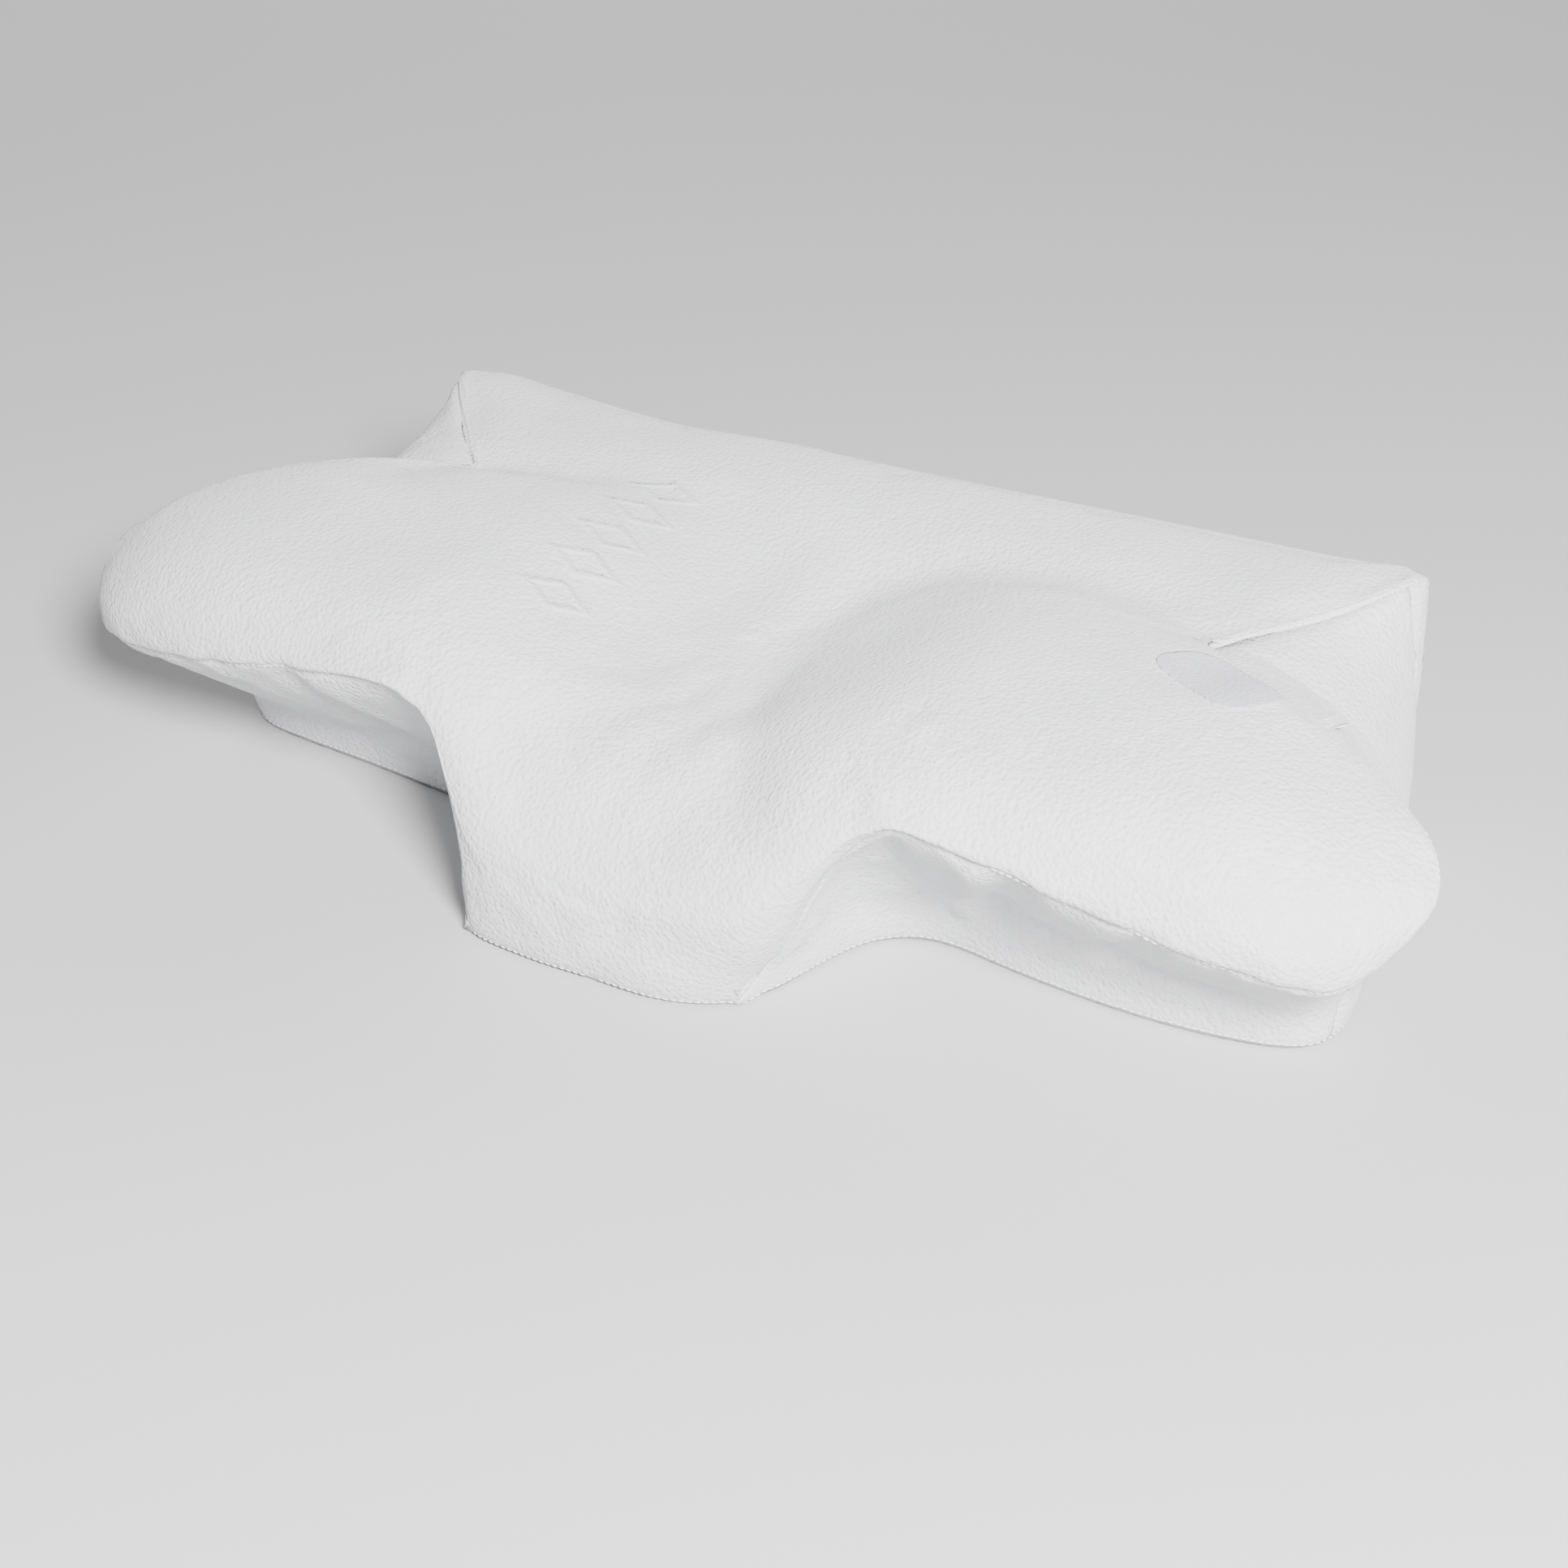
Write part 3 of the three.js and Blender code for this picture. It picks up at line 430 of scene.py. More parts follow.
def all_faces():
    faces, pieces = [], []
    count, rows = NUMBERS.shape
    for j in range(count):
        a, b = COLUMNS[j], COLUMNS[(j + 1) % count]
        if a[0] == b[0] and a[2] == b[2]:
            continue
        for row in range(rows - 1):
            nxt = (j + 1) % count
            quad = [NUMBERS[j, row], NUMBERS[j, row + 1], NUMBERS[nxt, row + 1], NUMBERS[nxt, row]]
            face = [int(v) for i, v in enumerate(quad) if v not in quad[:i]]
            if len(face) > 2:
                faces.append(face)
                pieces.append(piece_of(a, b, row))
    return faces, pieces


FACES, PIECES = all_faces()


def new_mesh(name, points_mm, faces, smooth=True):
    mesh = bpy.data.meshes.new(name)
    mesh.from_pydata((np.asarray(points_mm) * MM).tolist(), [], faces)
    mesh.validate()
    if smooth:
        mesh.polygons.foreach_set("use_smooth", [True] * len(mesh.polygons))
    obj = bpy.data.objects.new(name, mesh)
    bpy.context.scene.collection.objects.link(obj)
    return obj


def seam_vertices():
    """Vertices shared by faces of two pieces, and how many pieces meet there."""
    owners = {}
    for face, piece in zip(FACES, PIECES):
        for v in face:
            owners.setdefault(v, set()).add(piece)
    return {v for v, p in owners.items() if len(p) > 1}


SEAM = seam_vertices()
SEAM_POINTS = POINTS[sorted(SEAM)]


def distance_to_seam(points):
    tree = KDTree(len(SEAM_POINTS))
    for i, point in enumerate(SEAM_POINTS):
        tree.insert(point, i)
    tree.balance()
    return np.array([tree.find(point)[2] for point in points])


SEAM_GAP = distance_to_seam(POINTS)


def vertex_normals(points, faces):
    normals = np.zeros_like(points)
    for face in faces:
        a, b, c = points[face[0]], points[face[1]], points[face[2]]
        normal = np.cross(b - a, c - a)
        if len(face) == 4:
            normal = normal + np.cross(c - a, points[face[3]] - a)
        for v in face:
            normals[v] += normal
    return normals / np.maximum(np.linalg.norm(normals, axis=1, keepdims=True), 1e-12)


SEAM_PULL = 1.7         # a seam sits this far in, mm
SEAM_WIDTH = 2.0        # and draws in the cloth this far each side of it
SEAM_LIP = 0.4          # the cloth beside it stands this far out
SEAM_LIP_AT = 4.0
SWELL_START = 14        # the swell and the unevenness grow over this distance from a seam
SWELL_CAP = (1.0, 4.5)  # how far the cloth may move in and out, mm
SWELL_FRAMES = 20
HELD_BELOW_Z = 14       # the simulation holds the foot of the cover
HELD_REAR = (4, 45)     # and the rear face round the zip: this deep and this high

# Where detail fades in, from none to all of it, by height in mm or by the normal's Z. DETAIL_END_Y is where
# it fades out towards the rear face.
TOP_FOLD_Z, TOP_FOLD_SLOPE = (62, 88), (0.35, 0.85)
DETAIL_Z, DETAIL_END_Y = (12, 26), (118, 132)
SIDE_FOLD_START = 3
SEAM_DRAW_Z = (2, 10)


def filled_out(points):
    """The cover after it is filled out: cloth under a little pressure, its seams and underside held."""
    obj = new_mesh("cloth_work", points, FACES, smooth=False)
    group = obj.vertex_groups.new(name="held")
    rear_y, rear_z = ZIP_PLANE_Y - HELD_REAR[0], HELD_REAR[1]
    flat = [i for i, p in enumerate(points) if p[2] < HELD_BELOW_Z or (p[1] > rear_y and p[2] < rear_z)]
    group.add(sorted(SEAM | set(flat)), 1.0, "REPLACE")
    cloth = obj.modifiers.new("cloth", "CLOTH")
    settings = cloth.settings
    settings.quality = 6
    settings.mass = 0.3
    settings.use_pressure = True
    settings.uniform_pressure_force = 4.0
    settings.tension_stiffness = settings.compression_stiffness = 18
    settings.shear_stiffness = 8
    settings.bending_stiffness = 1.5
    settings.shrink_min = -0.008
    settings.vertex_group_mass = "held"
    settings.effector_weights.gravity = 0
    scene = bpy.context.scene
    scene.frame_start, scene.frame_end = 1, SWELL_FRAMES
    for number in range(1, SWELL_FRAMES + 1):
        scene.frame_set(number)
    evaluated = obj.evaluated_get(bpy.context.evaluated_depsgraph_get())
    moved = np.array([v.co for v in evaluated.data.vertices]) / MM
    scene.frame_set(1)
    bpy.data.objects.remove(obj)
    return moved


def capped(points, moved, normals):
    """The cloth's movement along the surface's own normal, within its limits."""
    out = np.einsum("ij,ij->i", moved - points, normals)
    inward, outward = SWELL_CAP
    return outward * np.tanh(np.maximum(out, 0) / outward) + np.maximum(np.minimum(out, 0), -inward)


def shaped_cover():
    """Outside of the cover, with its folds, its swell, and its seams drawn in."""
    normals = vertex_normals(POINTS, FACES)
    out = capped(POINTS, filled_out(POINTS), normals)
    fall = top_folds(POINTS) * smoothstep(POINTS[:, 2], *TOP_FOLD_Z)
    fall *= smoothstep(normals[:, 2], *TOP_FOLD_SLOPE)
    free = smoothstep(POINTS[:, 2], *DETAIL_Z) * (1 - smoothstep(POINTS[:, 1], *DETAIL_END_Y))
    puckers = unevenness(POINTS, PUCKERS) * np.exp(-((SEAM_GAP / PUCKER_REACH) ** 2))
    puckers *= 1 - smoothstep(POINTS[:, 1], *PUCKER_END_Y)
    uneven = unevenness(POINTS, UNEVEN) * smoothstep(SEAM_GAP, 0, SWELL_START)
    out = out * smoothstep(SEAM_GAP, 0, SWELL_START) - fall
    out += (side_folds(POINTS) * smoothstep(SEAM_GAP, 0, SIDE_FOLD_START) + uneven + puckers) * free
    draw_in = SEAM_LIP * np.exp(-(((SEAM_GAP - SEAM_LIP_AT) / SEAM_WIDTH) ** 2))
    draw_in -= SEAM_PULL * np.exp(-((SEAM_GAP / SEAM_WIDTH) ** 2))
    out += draw_in * smoothstep(POINTS[:, 2], *SEAM_DRAW_Z)
    cover = POINTS + normals * out[:, None]
    cover[:, 2] = np.maximum(cover[:, 2], 0)
    return cover, normals, fall


COVER, NORMALS, FALL = shaped_cover()

# ---------- materials ----------


def node_tree(name):
    material = bpy.data.materials.new(name)
    material.use_nodes = True
    tree = material.node_tree
    return material, tree, tree.nodes["Principled BSDF"]


def add_node(tree, kind, **values):
    node = tree.nodes.new(kind)
    for key, value in values.items():
        if key in node.inputs:
            node.inputs[key].default_value = value
        else:
            setattr(node, key, value)
    return node


def object_coordinates(tree):
    return tree.nodes.new("ShaderNodeTexCoord").outputs["Object"]


def tinted(tree, vector, scale, low, high):
    """A colour that varies softly between two."""
    pattern = add_node(tree, "ShaderNodeTexNoise", Scale=scale, Detail=3.0)
    ramp = tree.nodes.new("ShaderNodeValToRGB")
    ramp.color_ramp.elements[0].position, ramp.color_ramp.elements[1].position = 0.3, 0.7
    ramp.color_ramp.elements[0].color = (*low, 1)
    ramp.color_ramp.elements[1].color = (*high, 1)
    tree.links.new(vector, pattern.inputs["Vector"])
    tree.links.new(pattern.outputs["Fac"], ramp.inputs["Fac"])
    return ramp.outputs["Color"]


def bump(tree, height, distance, strength=1.0, normal=None):
    node = add_node(tree, "ShaderNodeBump", Strength=strength, Distance=distance)
    tree.links.new(height, node.inputs["Height"])
    if normal is not None:
        tree.links.new(normal, node.inputs["Normal"])
    return node.outputs["Normal"]


# The row of diamonds, in mm and degrees. An outline runs where slimness times the distance along the row from
# a diamond's middle, in pitches, and the distance across it, in half widths, add up to 1 less line. It fades
# out by line on either side of that.
MOTIF = {
    "x": -80,
    "y": 2,
    "angle": 97,
    "length": 130,
    "pitch": 26,
    "half_width": 19,
    "slimness": 2.2,
    "line": 0.3,
}
MOTIF_DEPTH = 0.0009    # metres


def calculated(tree, operation, first, second=None):
    node = add_node(tree, "ShaderNodeMath", operation=operation)
    for socket, value in zip(node.inputs, (first, second)):
        if isinstance(value, (int, float)):
            socket.default_value = value
        elif value is not None:
            tree.links.new(value, socket)
    return node.outputs[0]


def diamond_row(tree):
    """A shallow embossed row of plain diamond outlines, 1 on the lines and 0 elsewhere."""
    mapping = tree.nodes.new("ShaderNodeMapping")
    mapping.vector_type = "TEXTURE"
    mapping.inputs["Location"].default_value = (MOTIF["x"] * MM, MOTIF["y"] * MM, 0)
    mapping.inputs["Rotation"].default_value = (0, 0, math.radians(MOTIF["angle"]))
    tree.links.new(object_coordinates(tree), mapping.inputs["Vector"])
    split = tree.nodes.new("ShaderNodeSeparateXYZ")
    tree.links.new(mapping.outputs["Vector"], split.inputs[0])
    along, across = split.outputs[0], split.outputs[1]
    place = calculated(tree, "MULTIPLY", along, 1 / (MOTIF["pitch"] * MM))
    place = calculated(tree, "ADD", place, 0.5)
    turn = calculated(tree, "SUBTRACT", place, calculated(tree, "FLOOR", place))
    from_middle = calculated(tree, "ABSOLUTE", calculated(tree, "SUBTRACT", turn, 0.5))
    sideways = calculated(tree, "MULTIPLY", across, 1 / (MOTIF["half_width"] * MM))
    lengthways = calculated(tree, "MULTIPLY", from_middle, MOTIF["slimness"])
    reach = calculated(tree, "ADD", lengthways, calculated(tree, "ABSOLUTE", sideways))
    off_line = calculated(tree, "ABSOLUTE", calculated(tree, "SUBTRACT", reach, 1 - MOTIF["line"]))
    line = add_node(tree, "ShaderNodeMapRange", interpolation_type="SMOOTHSTEP")
    line.inputs["From Min"].default_value = MOTIF["line"]
    line.inputs["From Max"].default_value = 0.0
    tree.links.new(off_line, line.inputs["Value"])
    from_centre = calculated(tree, "ABSOLUTE", along)
    inside = calculated(tree, "LESS_THAN", from_centre, MOTIF["length"] / 2 * MM)
    return calculated(tree, "MULTIPLY", line.outputs["Result"], inside)


CREASE_DEPTH, PEBBLE_DEPTH, GRAIN_DEPTH = 0.0014, 0.001, 0.0003     # metres
KNIT_WARP = 0.0016      # how far the pebbles are shifted about, metres
WEAVE_DIVISOR = 6.3     # makes one band of the wave texture, light and dark, about two threads wide


def knit_material(name, low=(0.60, 0.605, 0.63), high=(0.65, 0.655, 0.675), motif=False):
    """Air-layer knit: small soft pebbles over a finer grain, with faint creases."""
    material, tree, shader = node_tree(name)
    vector = object_coordinates(tree)
    warp = add_node(tree, "ShaderNodeTexNoise", Scale=260.0, Detail=2.0)
    tree.links.new(vector, warp.inputs["Vector"])
    mixed = tree.nodes.new("ShaderNodeVectorMath")
    mixed.operation = "MULTIPLY_ADD"
    mixed.inputs[1].default_value = (KNIT_WARP,) * 3
    tree.links.new(warp.outputs["Color"], mixed.inputs[0])
    tree.links.new(vector, mixed.inputs[2])
    pebbles = add_node(tree, "ShaderNodeTexVoronoi", Scale=540.0, feature="SMOOTH_F1")
    tree.links.new(mixed.outputs[0], pebbles.inputs["Vector"])
    grain = add_node(tree, "ShaderNodeTexNoise", Scale=1500.0, Detail=3.0)
    tree.links.new(vector, grain.inputs["Vector"])
    creases = add_node(tree, "ShaderNodeTexNoise", Scale=60.0, Detail=4.0)
    tree.links.new(vector, creases.inputs["Vector"])
    flip = add_node(tree, "ShaderNodeMath", operation="SUBTRACT")
    flip.inputs[0].default_value = 1.0
    tree.links.new(pebbles.outputs["Distance"], flip.inputs[1])
    normal = bump(tree, creases.outputs["Fac"], CREASE_DEPTH, 0.16)
    normal = bump(tree, flip.outputs[0], PEBBLE_DEPTH, 0.8, normal)
    normal = bump(tree, grain.outputs["Fac"], GRAIN_DEPTH, 0.6, normal)
    if motif:
        normal = bump(tree, diamond_row(tree), MOTIF_DEPTH, 1.0, normal)
    tree.links.new(normal, shader.inputs["Normal"])
    colour = tinted(tree, vector, 26.0, low, high)
    tree.links.new(colour, shader.inputs["Base Color"])
    shader.inputs["Roughness"].default_value = 0.95
    shader.inputs["Specular IOR Level"].default_value = 0.2
    shader.inputs["Sheen Weight"].default_value = 0.25
    shader.inputs["Sheen Roughness"].default_value = 0.6
    return material


def woven_material(name, low, high, threads=900.0, depth=0.00025):
    """A plain weave: threads over and under along two axes."""
    material, tree, shader = node_tree(name)
    vector = object_coordinates(tree)
    waves = []
    for direction in ("X", "Y"):
        wave = add_node(tree, "ShaderNodeTexWave", Scale=threads / WEAVE_DIVISOR, Distortion=0.6, Detail=1.0)
        wave.bands_direction = direction
        tree.links.new(vector, wave.inputs["Vector"])
        waves.append(wave.outputs["Fac"])
    cross = add_node(tree, "ShaderNodeMath", operation="MULTIPLY")
    tree.links.new(waves[0], cross.inputs[0])
    tree.links.new(waves[1], cross.inputs[1])
    tree.links.new(bump(tree, cross.outputs[0], depth, 0.6), shader.inputs["Normal"])
    tree.links.new(tinted(tree, vector, 40.0, low, high), shader.inputs["Base Color"])
    shader.inputs["Roughness"].default_value = 0.92
    shader.inputs["Specular IOR Level"].default_value = 0.25
    shader.inputs["Sheen Weight"].default_value = 0.15
    return material


def grained_material(name, low, high, scale, distance, roughness, metallic=0.0, specular=0.5):
    material, tree, shader = node_tree(name)
    vector = object_coordinates(tree)
    grain = add_node(tree, "ShaderNodeTexNoise", Scale=scale, Detail=4.0)
    tree.links.new(vector, grain.inputs["Vector"])
    tree.links.new(bump(tree, grain.outputs["Fac"], distance, 0.5), shader.inputs["Normal"])
    tree.links.new(tinted(tree, vector, scale / 12, low, high), shader.inputs["Base Color"])
    shader.inputs["Roughness"].default_value = roughness
    shader.inputs["Metallic"].default_value = metallic
    shader.inputs["Specular IOR Level"].default_value = specular
    return material


KNIT = knit_material("knit")
KNIT_TOP = knit_material("knit_top", motif=True)
BASE_CLOTH = woven_material("base_fabric", (0.58, 0.58, 0.6), (0.63, 0.63, 0.65))
LINER_CLOTH = woven_material("liner", (0.78, 0.78, 0.77), (0.84, 0.84, 0.83), 1200.0)
TAPE_CLOTH = woven_material("zip_tape", (0.68, 0.68, 0.7), (0.74, 0.74, 0.76), 1600.0, 0.0002)
LABEL_CLOTH = knit_material("label", (0.47, 0.475, 0.51), (0.53, 0.535, 0.57))
THREAD = grained_material("thread", (0.74, 0.74, 0.76), (0.8, 0.8, 0.82), 2500.0, 0.0001, 0.7)
FOAM = grained_material("foam", (0.86, 0.82, 0.66), (0.9, 0.87, 0.73), 900.0, 0.0004, 0.95, specular=0.2)
NYLON = grained_material("zip_coil", (0.82, 0.82, 0.82), (0.87, 0.87, 0.87), 1800.0, 0.00004, 0.35)
METAL = grained_material("zip_metal", (0.56, 0.57, 0.59), (0.64, 0.65, 0.67), 1200.0, 0.00003, 0.32, 0.9)

# ---------- soft pieces ----------


def finish_piece(obj, material, slot, *nodes):
    obj.data.materials.clear()
    obj.data.materials.append(material)
    if nodes:
        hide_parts(*nodes)
    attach(obj, ROOT)
    return obj


def panel_object(name, wanted, points, inner):
    """A sewn panel as a closed sheet between two sets of points."""
    faces = [face for face, piece in zip(FACES, PIECES) if piece in wanted]
    used = sorted({v for face in faces for v in face})
    order = {v: i for i, v in enumerate(used)}
    outer = [[order[v] for v in face] for face in faces]
    count = len(used)
    edges = {}
    for face in outer:
        for i, v in enumerate(face):
            edges[(v, face[(i + 1) % len(face)])] = True
    rim = [(a, b) for a, b in edges if (b, a) not in edges]
    back = [[v + count for v in reversed(face)] for face in outer]
    walls = [[b, a, a + count, b + count] for a, b in rim]
    return new_mesh(name, np.vstack([points[used], inner[used]]), outer + back + walls)


CLOTH_THICKNESS = 1.2   # mm
# How far inside the cover the liner's two faces and the foam lie, mm: further in than the folds reach.
LINER_OUTSIDE, LINER_INSIDE, FOAM_OUTSIDE = 5.2, 6.0, 8.0


def add_cover():
    inner = COVER - NORMALS * CLOTH_THICKNESS
    plan = [
        ("cover_top", ["top"], "cover_top_panel", KNIT_TOP, "knit"),
        ("cover_front_side_left", ["front_left"], "cover_front_side_panel_left", KNIT, "knit"),
        ("cover_front_side_right", ["front_right"], "cover_front_side_panel_right", KNIT, "knit"),
        ("cover_rear_side_left", ["rear_left"], "cover_rear_side_panel_left", KNIT, "knit"),
        ("cover_rear_side_right", ["rear_right"], "cover_rear_side_panel_right", KNIT, "knit"),
        ("cover_bottom", ["bottom"], "cover_bottom_panel", BASE_CLOTH, "base_fabric"),
    ]
    for name, wanted, node, material, slot in plan:
        panel = finish_piece(panel_object(name, wanted, COVER, inner), material, slot, node)


def add_inside():
    """Liner and foam, which sink with the cover's folds."""

    def points_at(depth):
        grid = surface(depth)
        points = np.zeros_like(POINTS)
        for j in range(grid.shape[0]):
            points[NUMBERS[j]] = grid[j]
        points[:, 2] -= FALL
        return points

    outside, inside = points_at(LINER_OUTSIDE), points_at(LINER_INSIDE)
    everything = sorted(set(PIECES) - {"bottom"})
    upper = panel_object("liner_top", everything, outside, inside)
    finish_piece(upper, LINER_CLOTH, "liner", "liner_upper")
    lower = panel_object("liner_base", ["bottom"], outside, inside)
    finish_piece(lower, LINER_CLOTH, "liner", "liner_lower")
    core = new_mesh("foam_block", points_at(FOAM_OUTSIDE), FACES)
    finish_piece(core, FOAM, "foam", "foam_core")


# ---------- stitches ----------

STITCH_PITCH, STITCH_LENGTH, STITCH_RADIUS = 3.2, 2.3, 0.32
STITCH_SWELL = (0.35, 0.9, 1.0, 0.9, 0.35)      # share of the radius, ring by ring
STITCH_SIDES = 6
SEAM_LIFT, BASE_LIFT = 0.35, 0.1
CLOSEST_SEAM_POINTS = 0.05      # mm
PAST_CORNER = 0.05      # the top seam starts this far past the lobe's corner, in stations


def chain_points(numbers):
    """The vertices of a seam without those that coincide."""
    path = []
    for v in numbers:
        if not path or np.linalg.norm(COVER[v] - COVER[path[-1]]) > CLOSEST_SEAM_POINTS:
            path.append(v)
    return path


def add_stitch(vertices, faces, spine, up):
    """One stitch round its spine."""
    along = spine[-1] - spine[0]
    along /= np.linalg.norm(along)
    up = up - along * (up @ along)
    up /= np.linalg.norm(up)
    across = np.cross(along, up)
    start, sides = len(vertices), STITCH_SIDES
    for spot, swell in zip(spine, STITCH_SWELL):
        for k in range(sides):
            turn = math.tau * k / sides
            ring = across * math.cos(turn) + up * math.sin(turn)
            vertices.append(spot + ring * STITCH_RADIUS * swell)
    last = len(STITCH_SWELL) - 1
    for r in range(last):
        for k in range(sides):
            a, b = start + r * sides + k, start + r * sides + (k + 1) % sides
            faces.append([a, b, b + sides, a + sides])
    faces.append([start + k for k in reversed(range(sides))])
    faces.append([start + last * sides + k for k in range(sides)])


def stitches(name, chains, node, lift=SEAM_LIFT):
    """Short round stitches that lie in a seam."""
    vertices, faces = [], []
    for chain in chains:
        path = chain_points(chain)
        points, normals = COVER[path] + NORMALS[path] * lift, NORMALS[path]
        steps = np.linalg.norm(np.diff(points, axis=0), axis=1)
        lengths = np.concatenate([[0], np.cumsum(steps)])
        place = STITCH_PITCH
        while place + STITCH_LENGTH < lengths[-1] - STITCH_PITCH:
            ring_at = np.linspace(place, place + STITCH_LENGTH, len(STITCH_SWELL))
            spine = np.array([[np.interp(s, lengths, points[:, k]) for k in range(3)] for s in ring_at])
            up = np.array([np.interp(place, lengths, normals[:, k]) for k in range(3)])
            add_stitch(vertices, faces, spine, up)
            place += STITCH_PITCH
    vertices = np.array(vertices)
    vertices[:, 2] = np.maximum(vertices[:, 2], 0)
    finish_piece(new_mesh(name, vertices, faces), THREAD, "thread", node)


def columns_between(mirrored, low, high):
    found = [
        j
        for j, (at, kind, m) in enumerate(COLUMNS)
        if kind != "rear" and low <= at <= high and (m == mirrored or at == 0)
    ]
    return sorted(found, key=lambda j: COLUMNS[j][0])


def add_seams():
    for side, mirrored in (("left", True), ("right", False)):
        ring = columns_between(mirrored, LOBE_CORNER + PAST_CORNER, REAR_CORNER)
        corner = columns_between(mirrored, REAR_CORNER, REAR_CORNER)[0]
        tip = columns_between(mirrored, TIP, TIP)[0]
        down = list(NUMBERS[corner, SEAM_ROW : UNDER_ROW + 1])
        top_chains, tip_chains = [NUMBERS[ring, SEAM_ROW], down], [NUMBERS[tip, SEAM_ROW : UNDER_ROW + 1]]
        stitches(f"top_stitches_{side}", top_chains, f"top_seam_thread_{side}")
        stitches(f"tip_stitches_{side}", tip_chains, f"tip_seam_thread_{side}")
    halves = [NUMBERS[columns_between(m, 0, REAR_CORNER), UNDER_ROW - 1] for m in (True, False)]
    stitches("base_stitches", halves, "base_seam_thread", lift=BASE_LIFT)


# ---------- zip ----------


def box_of(node):
    low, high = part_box(node)
    return np.array(low) / MM, np.array(high) / MM


TAPE_TUCK = 3.8         # the part of a tape that is tucked behind the cover's edge
TAPE_BACK = 0.8         # a tape lies this much further into the pillow than its solid
TAPE_CELLS = (160, 6)
TAPE_WAVE, TAPE_WAVE_STEP = 0.08, 9
COIL_PITCH, COIL_WIRE, COIL_SIDES, COIL_STEPS = 1.5, 0.3, 6, 10
COIL_END = 0.5          # bare tape at each end of a coil
COIL_PHASE = COIL_PITCH / 4
METAL_ROUNDING = 0.00018    # metres


def sheet_faces(columns, rows, flipped):
    """Faces of a sheet with a front and a back, each columns by rows cells, and the walls between them."""
    size = (columns + 1) * (rows + 1)

    def at(i, k):
        return i * (rows + 1) + k

    faces = []
    for i in range(columns):
        for k in range(rows):
            quad = [at(i, k), at(i, k + 1), at(i + 1, k + 1), at(i + 1, k)]
            if flipped:
                quad = [quad[0], quad[3], quad[2], quad[1]]
            faces.append(quad)
            faces.append([v + size for v in reversed(quad)])
    border = [at(i, 0) for i in range(columns + 1)] + [at(columns, k) for k in range(1, rows + 1)]
    border += [at(i, rows) for i in range(columns - 1, -1, -1)]
    border += [at(0, k) for k in range(rows - 1, 0, -1)]
    for v, w in zip(border, border[1:] + border[:1]):
        if flipped:
            v, w = w, v
        faces.append([v, w, w + size, v + size])
    return faces


def add_tape(name):
    """A woven tape, with the seam allowance that is tucked behind the cover's edge."""
    low, high = box_of(name)
    low[1], high[1] = low[1] - TAPE_BACK, high[1] - TAPE_BACK
    if name.endswith("upper"):
        high[2] += TAPE_TUCK
    else:
        low[2] -= TAPE_TUCK
    columns, rows = TAPE_CELLS
    vertices = []
    for face_y in (high[1], low[1]):
        for i in range(columns + 1):
            x = lerp(low[0], high[0], i / columns)
            for k in range(rows + 1):
                z = lerp(low[2], high[2], k / rows)
                vertices.append((x, face_y + TAPE_WAVE * math.sin(x / TAPE_WAVE_STEP + k), z))
    mesh = new_mesh(name + "_cloth", np.array(vertices), sheet_faces(columns, rows, flipped=False))
    tape = finish_piece(mesh, TAPE_CLOTH, "zip_tape", name)


def add_coil(name, phase):
    """A coil half: one flattened turn after another."""
    low, high = box_of(name)
    middle = (low + high) / 2
    pitch, wire, sides, steps = COIL_PITCH, COIL_WIRE, COIL_SIDES, COIL_STEPS
    turns = int((high[0] - low[0] - 2 * COIL_END) / pitch)
    half_y, half_z = (high[1] - low[1]) / 2 - wire, (high[2] - low[2]) / 2 - wire
    path = []
    for i in range(turns * steps + 1):
        angle = math.tau * i / steps
        x = low[0] + COIL_END + pitch * i / steps + phase
        path.append((x, middle[1] + half_y * math.cos(angle), middle[2] + half_z * math.sin(angle)))
    path = np.array(path)
    vertices, faces = [], []
    for i, spot in enumerate(path):
        along = path[min(i + 1, len(path) - 1)] - path[max(i - 1, 0)]
        along /= np.linalg.norm(along)
        side = np.cross(along, (1, 0, 0))
        side /= max(np.linalg.norm(side), 1e-9)
        other = np.cross(along, side)
        for k in range(sides):
            turn = math.tau * k / sides
            vertices.append(spot + wire * (side * math.cos(turn) + other * math.sin(turn)))
    for i in range(len(path) - 1):
        for k in range(sides):
            a, b = i * sides + k, i * sides + (k + 1) % sides
            faces.append([a, b, b + sides, a + sides])
    finish_piece(new_mesh(name + "_turns", np.array(vertices), faces), NYLON, "zip_coil", name)


def add_zip():
    for half, phase in (("upper", 0.0), ("lower", COIL_PHASE)):
        add_tape(f"zip_tape_{half}")
        add_coil(f"zip_coil_{half}", phase)
    for node in ("zip_stop_closed_end", "zip_stop_open_end", "zip_slider", "zip_pull"):
        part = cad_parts[node]
        for slot in part.material_slots:
            slot.material = METAL
        if node in ("zip_slider", "zip_pull"):
            bevel = part.modifiers.new("soft_edges", "BEVEL")
            bevel.width, bevel.segments, bevel.limit_method = METAL_ROUNDING, 2, "ANGLE"


# ---------- label and tag ----------

LABEL = {
    "x": 197,
    "y": -4,
    "length": 54,
    "width": 31,
    "angle": -31,
    "corner": 11,
    "lift": 0.4,
    "thickness": 0.4,
}
LABEL_CELLS = (44, 24)
LABEL_SUNK = 0.9        # how far below its lift the label's underside reaches
LABEL_RIDGE, LABEL_RIDGE_AT, LABEL_RIDGE_WIDTH = 0.18, 2.2, 0.7
TOP_NORMAL_Z = 0.2      # only the upward-facing part of the top panel carries the label
NEAR_POINTS = 8         # a height is fitted to this many points near it


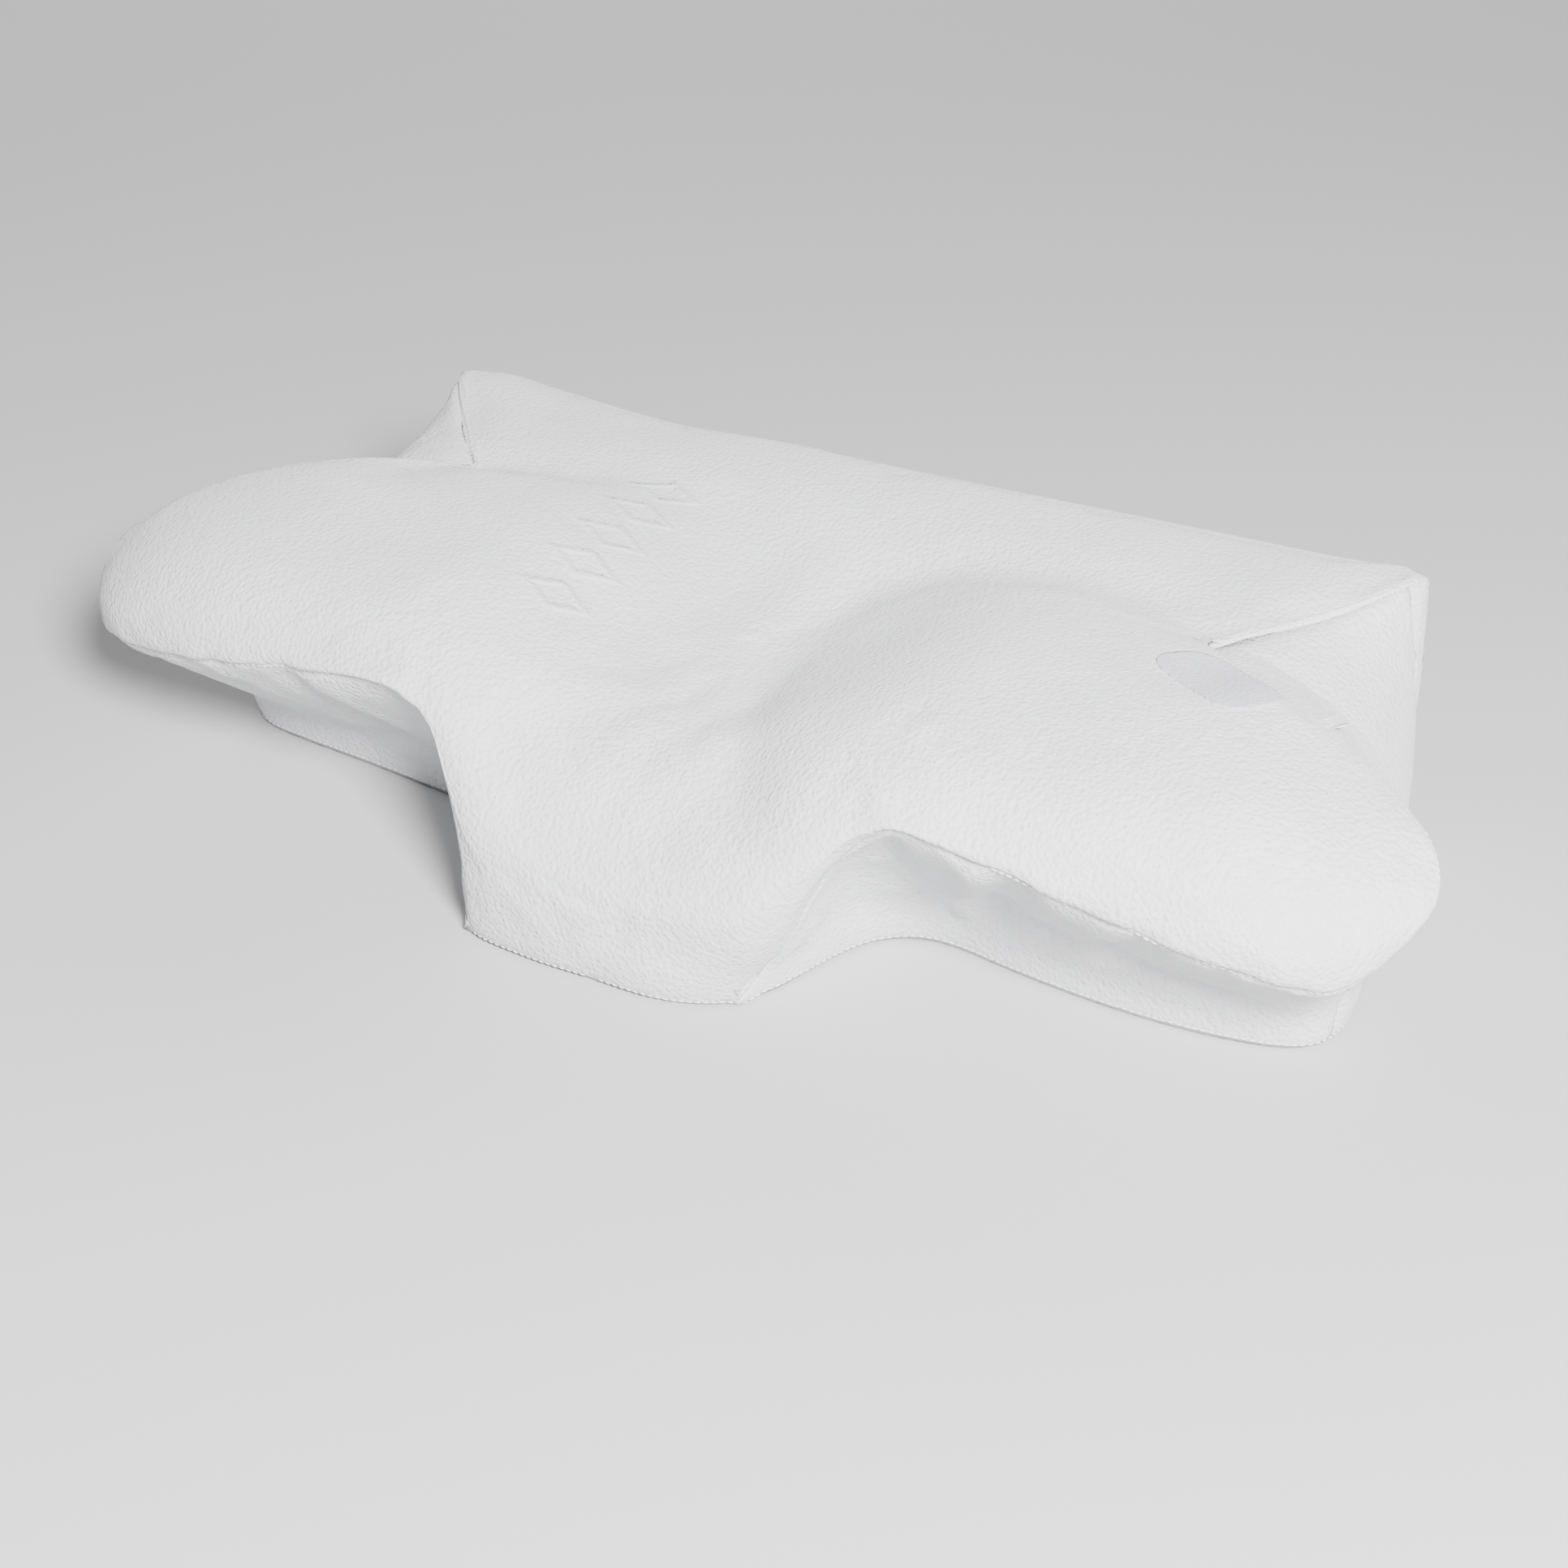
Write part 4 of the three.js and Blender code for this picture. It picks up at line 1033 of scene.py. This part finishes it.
def cover_height(points_xy):
    """Height of the cover's top over places in plan."""
    top = sorted({v for face, piece in zip(FACES, PIECES) if piece == "top" for v in face})
    top = [v for v in top if NORMALS[v][2] > TOP_NORMAL_Z]
    known = COVER[top]
    heights = []
    for x, y in points_xy:
        gap = np.hypot(known[:, 0] - x, known[:, 1] - y)
        near = np.argsort(gap)[:NEAR_POINTS]
        design = np.column_stack([np.ones(NEAR_POINTS), known[near, 0] - x, known[near, 1] - y])
        weight = 1 / (gap[near] + 0.5)
        fit = np.linalg.lstsq(design * weight[:, None], known[near, 2] * weight, rcond=None)[0]
        heights.append(fit[0])
    return np.array(heights)


def add_label():
    """A blank label with a slight ridge inside its edge, following the wing."""
    cells_x, cells_y = LABEL_CELLS
    half_x, half_y, corner = LABEL["length"] / 2, LABEL["width"] / 2, LABEL["corner"]
    angle = math.radians(LABEL["angle"])
    flat = []
    for i in range(cells_x + 1):
        for k in range(cells_y + 1):
            u, v = lerp(-half_x, half_x, i / cells_x), lerp(-half_y, half_y, k / cells_y)
            inset = corner - math.sqrt(max(0, corner**2 - max(0, abs(v) - (half_y - corner)) ** 2))
            u *= (half_x - inset) / half_x
            flat.append((u, v))
    flat = np.array(flat)
    turn = np.array([[math.cos(angle), -math.sin(angle)], [math.sin(angle), math.cos(angle)]])
    plan = flat @ turn.T + (LABEL["x"], LABEL["y"])
    base = cover_height(plan)
    edge = np.minimum(half_x - abs(flat[:, 0]), half_y - abs(flat[:, 1]))
    ridge_height = LABEL_RIDGE * np.exp(-(((edge - LABEL_RIDGE_AT) / LABEL_RIDGE_WIDTH) ** 2))
    top = np.column_stack([plan, base + LABEL["lift"] + LABEL["thickness"] + ridge_height])
    under = np.column_stack([plan, base + LABEL["lift"] - LABEL_SUNK])
    faces = sheet_faces(cells_x, cells_y, flipped=True)
    mesh = new_mesh("label_cloth", np.vstack([top, under]), faces)
    label = finish_piece(mesh, LABEL_CLOTH, "label", "wing_label")


TAG_STATION = 14.6      # where the tag stands along the rim
TAG_WIDTH, TAG_CELLS = 7, 7
# The folded strip's section, as (reach out of the seam, rise), mm.
TAG_FOLD = [
    (-4.5, 0.3), (0, 0.42), (3, 0.4), (3.9, 0.2), (4.1, 0), (3.9, -0.2), (3, -0.4), (0, -0.42), (-4.5, -0.3),
]
TAG_DROOP = 0.006


def add_tag():
    """A folded strip that stands out of the wing's rear seam."""
    low, high = box_of("seam_tag")
    middle = (low + high) / 2
    share, step = TAG_STATION / LAST, 1e-4
    along = RIM.at(share + step) - RIM.at(share - step)
    along[2] = 0
    along /= np.linalg.norm(along)
    outward = np.array([along[1], -along[0], 0.0])
    vertices, faces = [], []
    for w in np.linspace(-0.5, 0.5, TAG_CELLS + 1):
        for reach, rise in TAG_FOLD:
            droop = -TAG_DROOP * (reach - TAG_FOLD[0][0]) ** 1.5
            spot = middle + along * w * TAG_WIDTH + outward * reach
            vertices.append(spot + np.array([0, 0, rise + droop]))
    count = len(TAG_FOLD)
    for i in range(TAG_CELLS):
        for k in range(count):
            a, b = i * count + k, i * count + (k + 1) % count
            faces.append([a, b, b + count, a + count])
    last = TAG_CELLS * count
    faces += [list(range(count)), list(range(last, last + count))[::-1]]
    finish_piece(new_mesh("tag_cloth", np.array(vertices), faces), TAPE_CLOTH, "label", "seam_tag")


# ---------- camera, floor and light ----------


CAMERA_AZIMUTH, CAMERA_ELEVATION = math.radians(30.63), math.radians(28.65)
CAMERA_DISTANCE, CAMERA_TARGET = 1.334, (0.00374, 0.00134, 0.02278)     # metres
CAMERA_LENS, CAMERA_SENSOR = 73.14, 36
FLOOR_HALF, FLOOR_Z = 40000, -0.2        # mm, just below the pillow
FLOOR_GREY = 0.52
LIGHT_TARGET = (0, 0, 0.05)
WORLD_STRENGTH = 0.32


def add_camera():
    level = math.cos(CAMERA_ELEVATION)
    across, forward = math.sin(CAMERA_AZIMUTH) * level, math.cos(CAMERA_AZIMUTH) * level
    back = Vector((across, -forward, math.sin(CAMERA_ELEVATION)))
    camera = bpy.data.objects.new("camera", bpy.data.cameras.new("camera"))
    camera.data.lens, camera.data.sensor_width = CAMERA_LENS, CAMERA_SENSOR
    camera.location = Vector(CAMERA_TARGET) + back * CAMERA_DISTANCE
    camera.rotation_mode = "QUATERNION"
    camera.rotation_quaternion = (-back).to_track_quat("-Z", "Y")
    bpy.context.scene.collection.objects.link(camera)
    bpy.context.scene.camera = camera


def add_floor():
    half = FLOOR_HALF
    corners = [(x, y, FLOOR_Z) for x, y in ((-half, -half), (half, -half), (half, half), (-half, half))]
    floor = new_mesh("floor", corners, [[0, 1, 2, 3]], False)
    material, _, shader = node_tree("floor")
    shader.inputs["Base Color"].default_value = (FLOOR_GREY, FLOOR_GREY, FLOOR_GREY, 1)
    shader.inputs["Roughness"].default_value = 0.9
    floor.data.materials.append(material)


def add_light(name, kind, place, size, power):
    """A soft light of this diameter, in metres and watts, that faces the pillow."""
    light = bpy.data.objects.new(name, bpy.data.lights.new(name, kind))
    light.data.energy = power
    if kind == "AREA":
        light.data.shape, light.data.size = "DISK", size
    else:
        light.data.shadow_soft_size = size / 2
    light.location = place
    light.rotation_mode = "QUATERNION"
    light.rotation_quaternion = (Vector(LIGHT_TARGET) - Vector(place)).to_track_quat("-Z", "Y")
    bpy.context.scene.collection.objects.link(light)


def add_lights():
    add_light("key", "POINT", (1.15, -1.2, 1.2), 0.5, 690)
    add_light("fill", "AREA", (-1.6, 2.3, 1.2), 1.8, 40)
    world = bpy.data.worlds.new("world")
    world.use_nodes = True
    background = world.node_tree.nodes["Background"]
    background.inputs["Color"].default_value = (1, 1, 1, 1)
    background.inputs["Strength"].default_value = WORLD_STRENGTH
    bpy.context.scene.world = world


add_camera()
add_cover()
add_inside()
add_seams()
add_zip()
add_label()
add_tag()
add_floor()
add_lights()
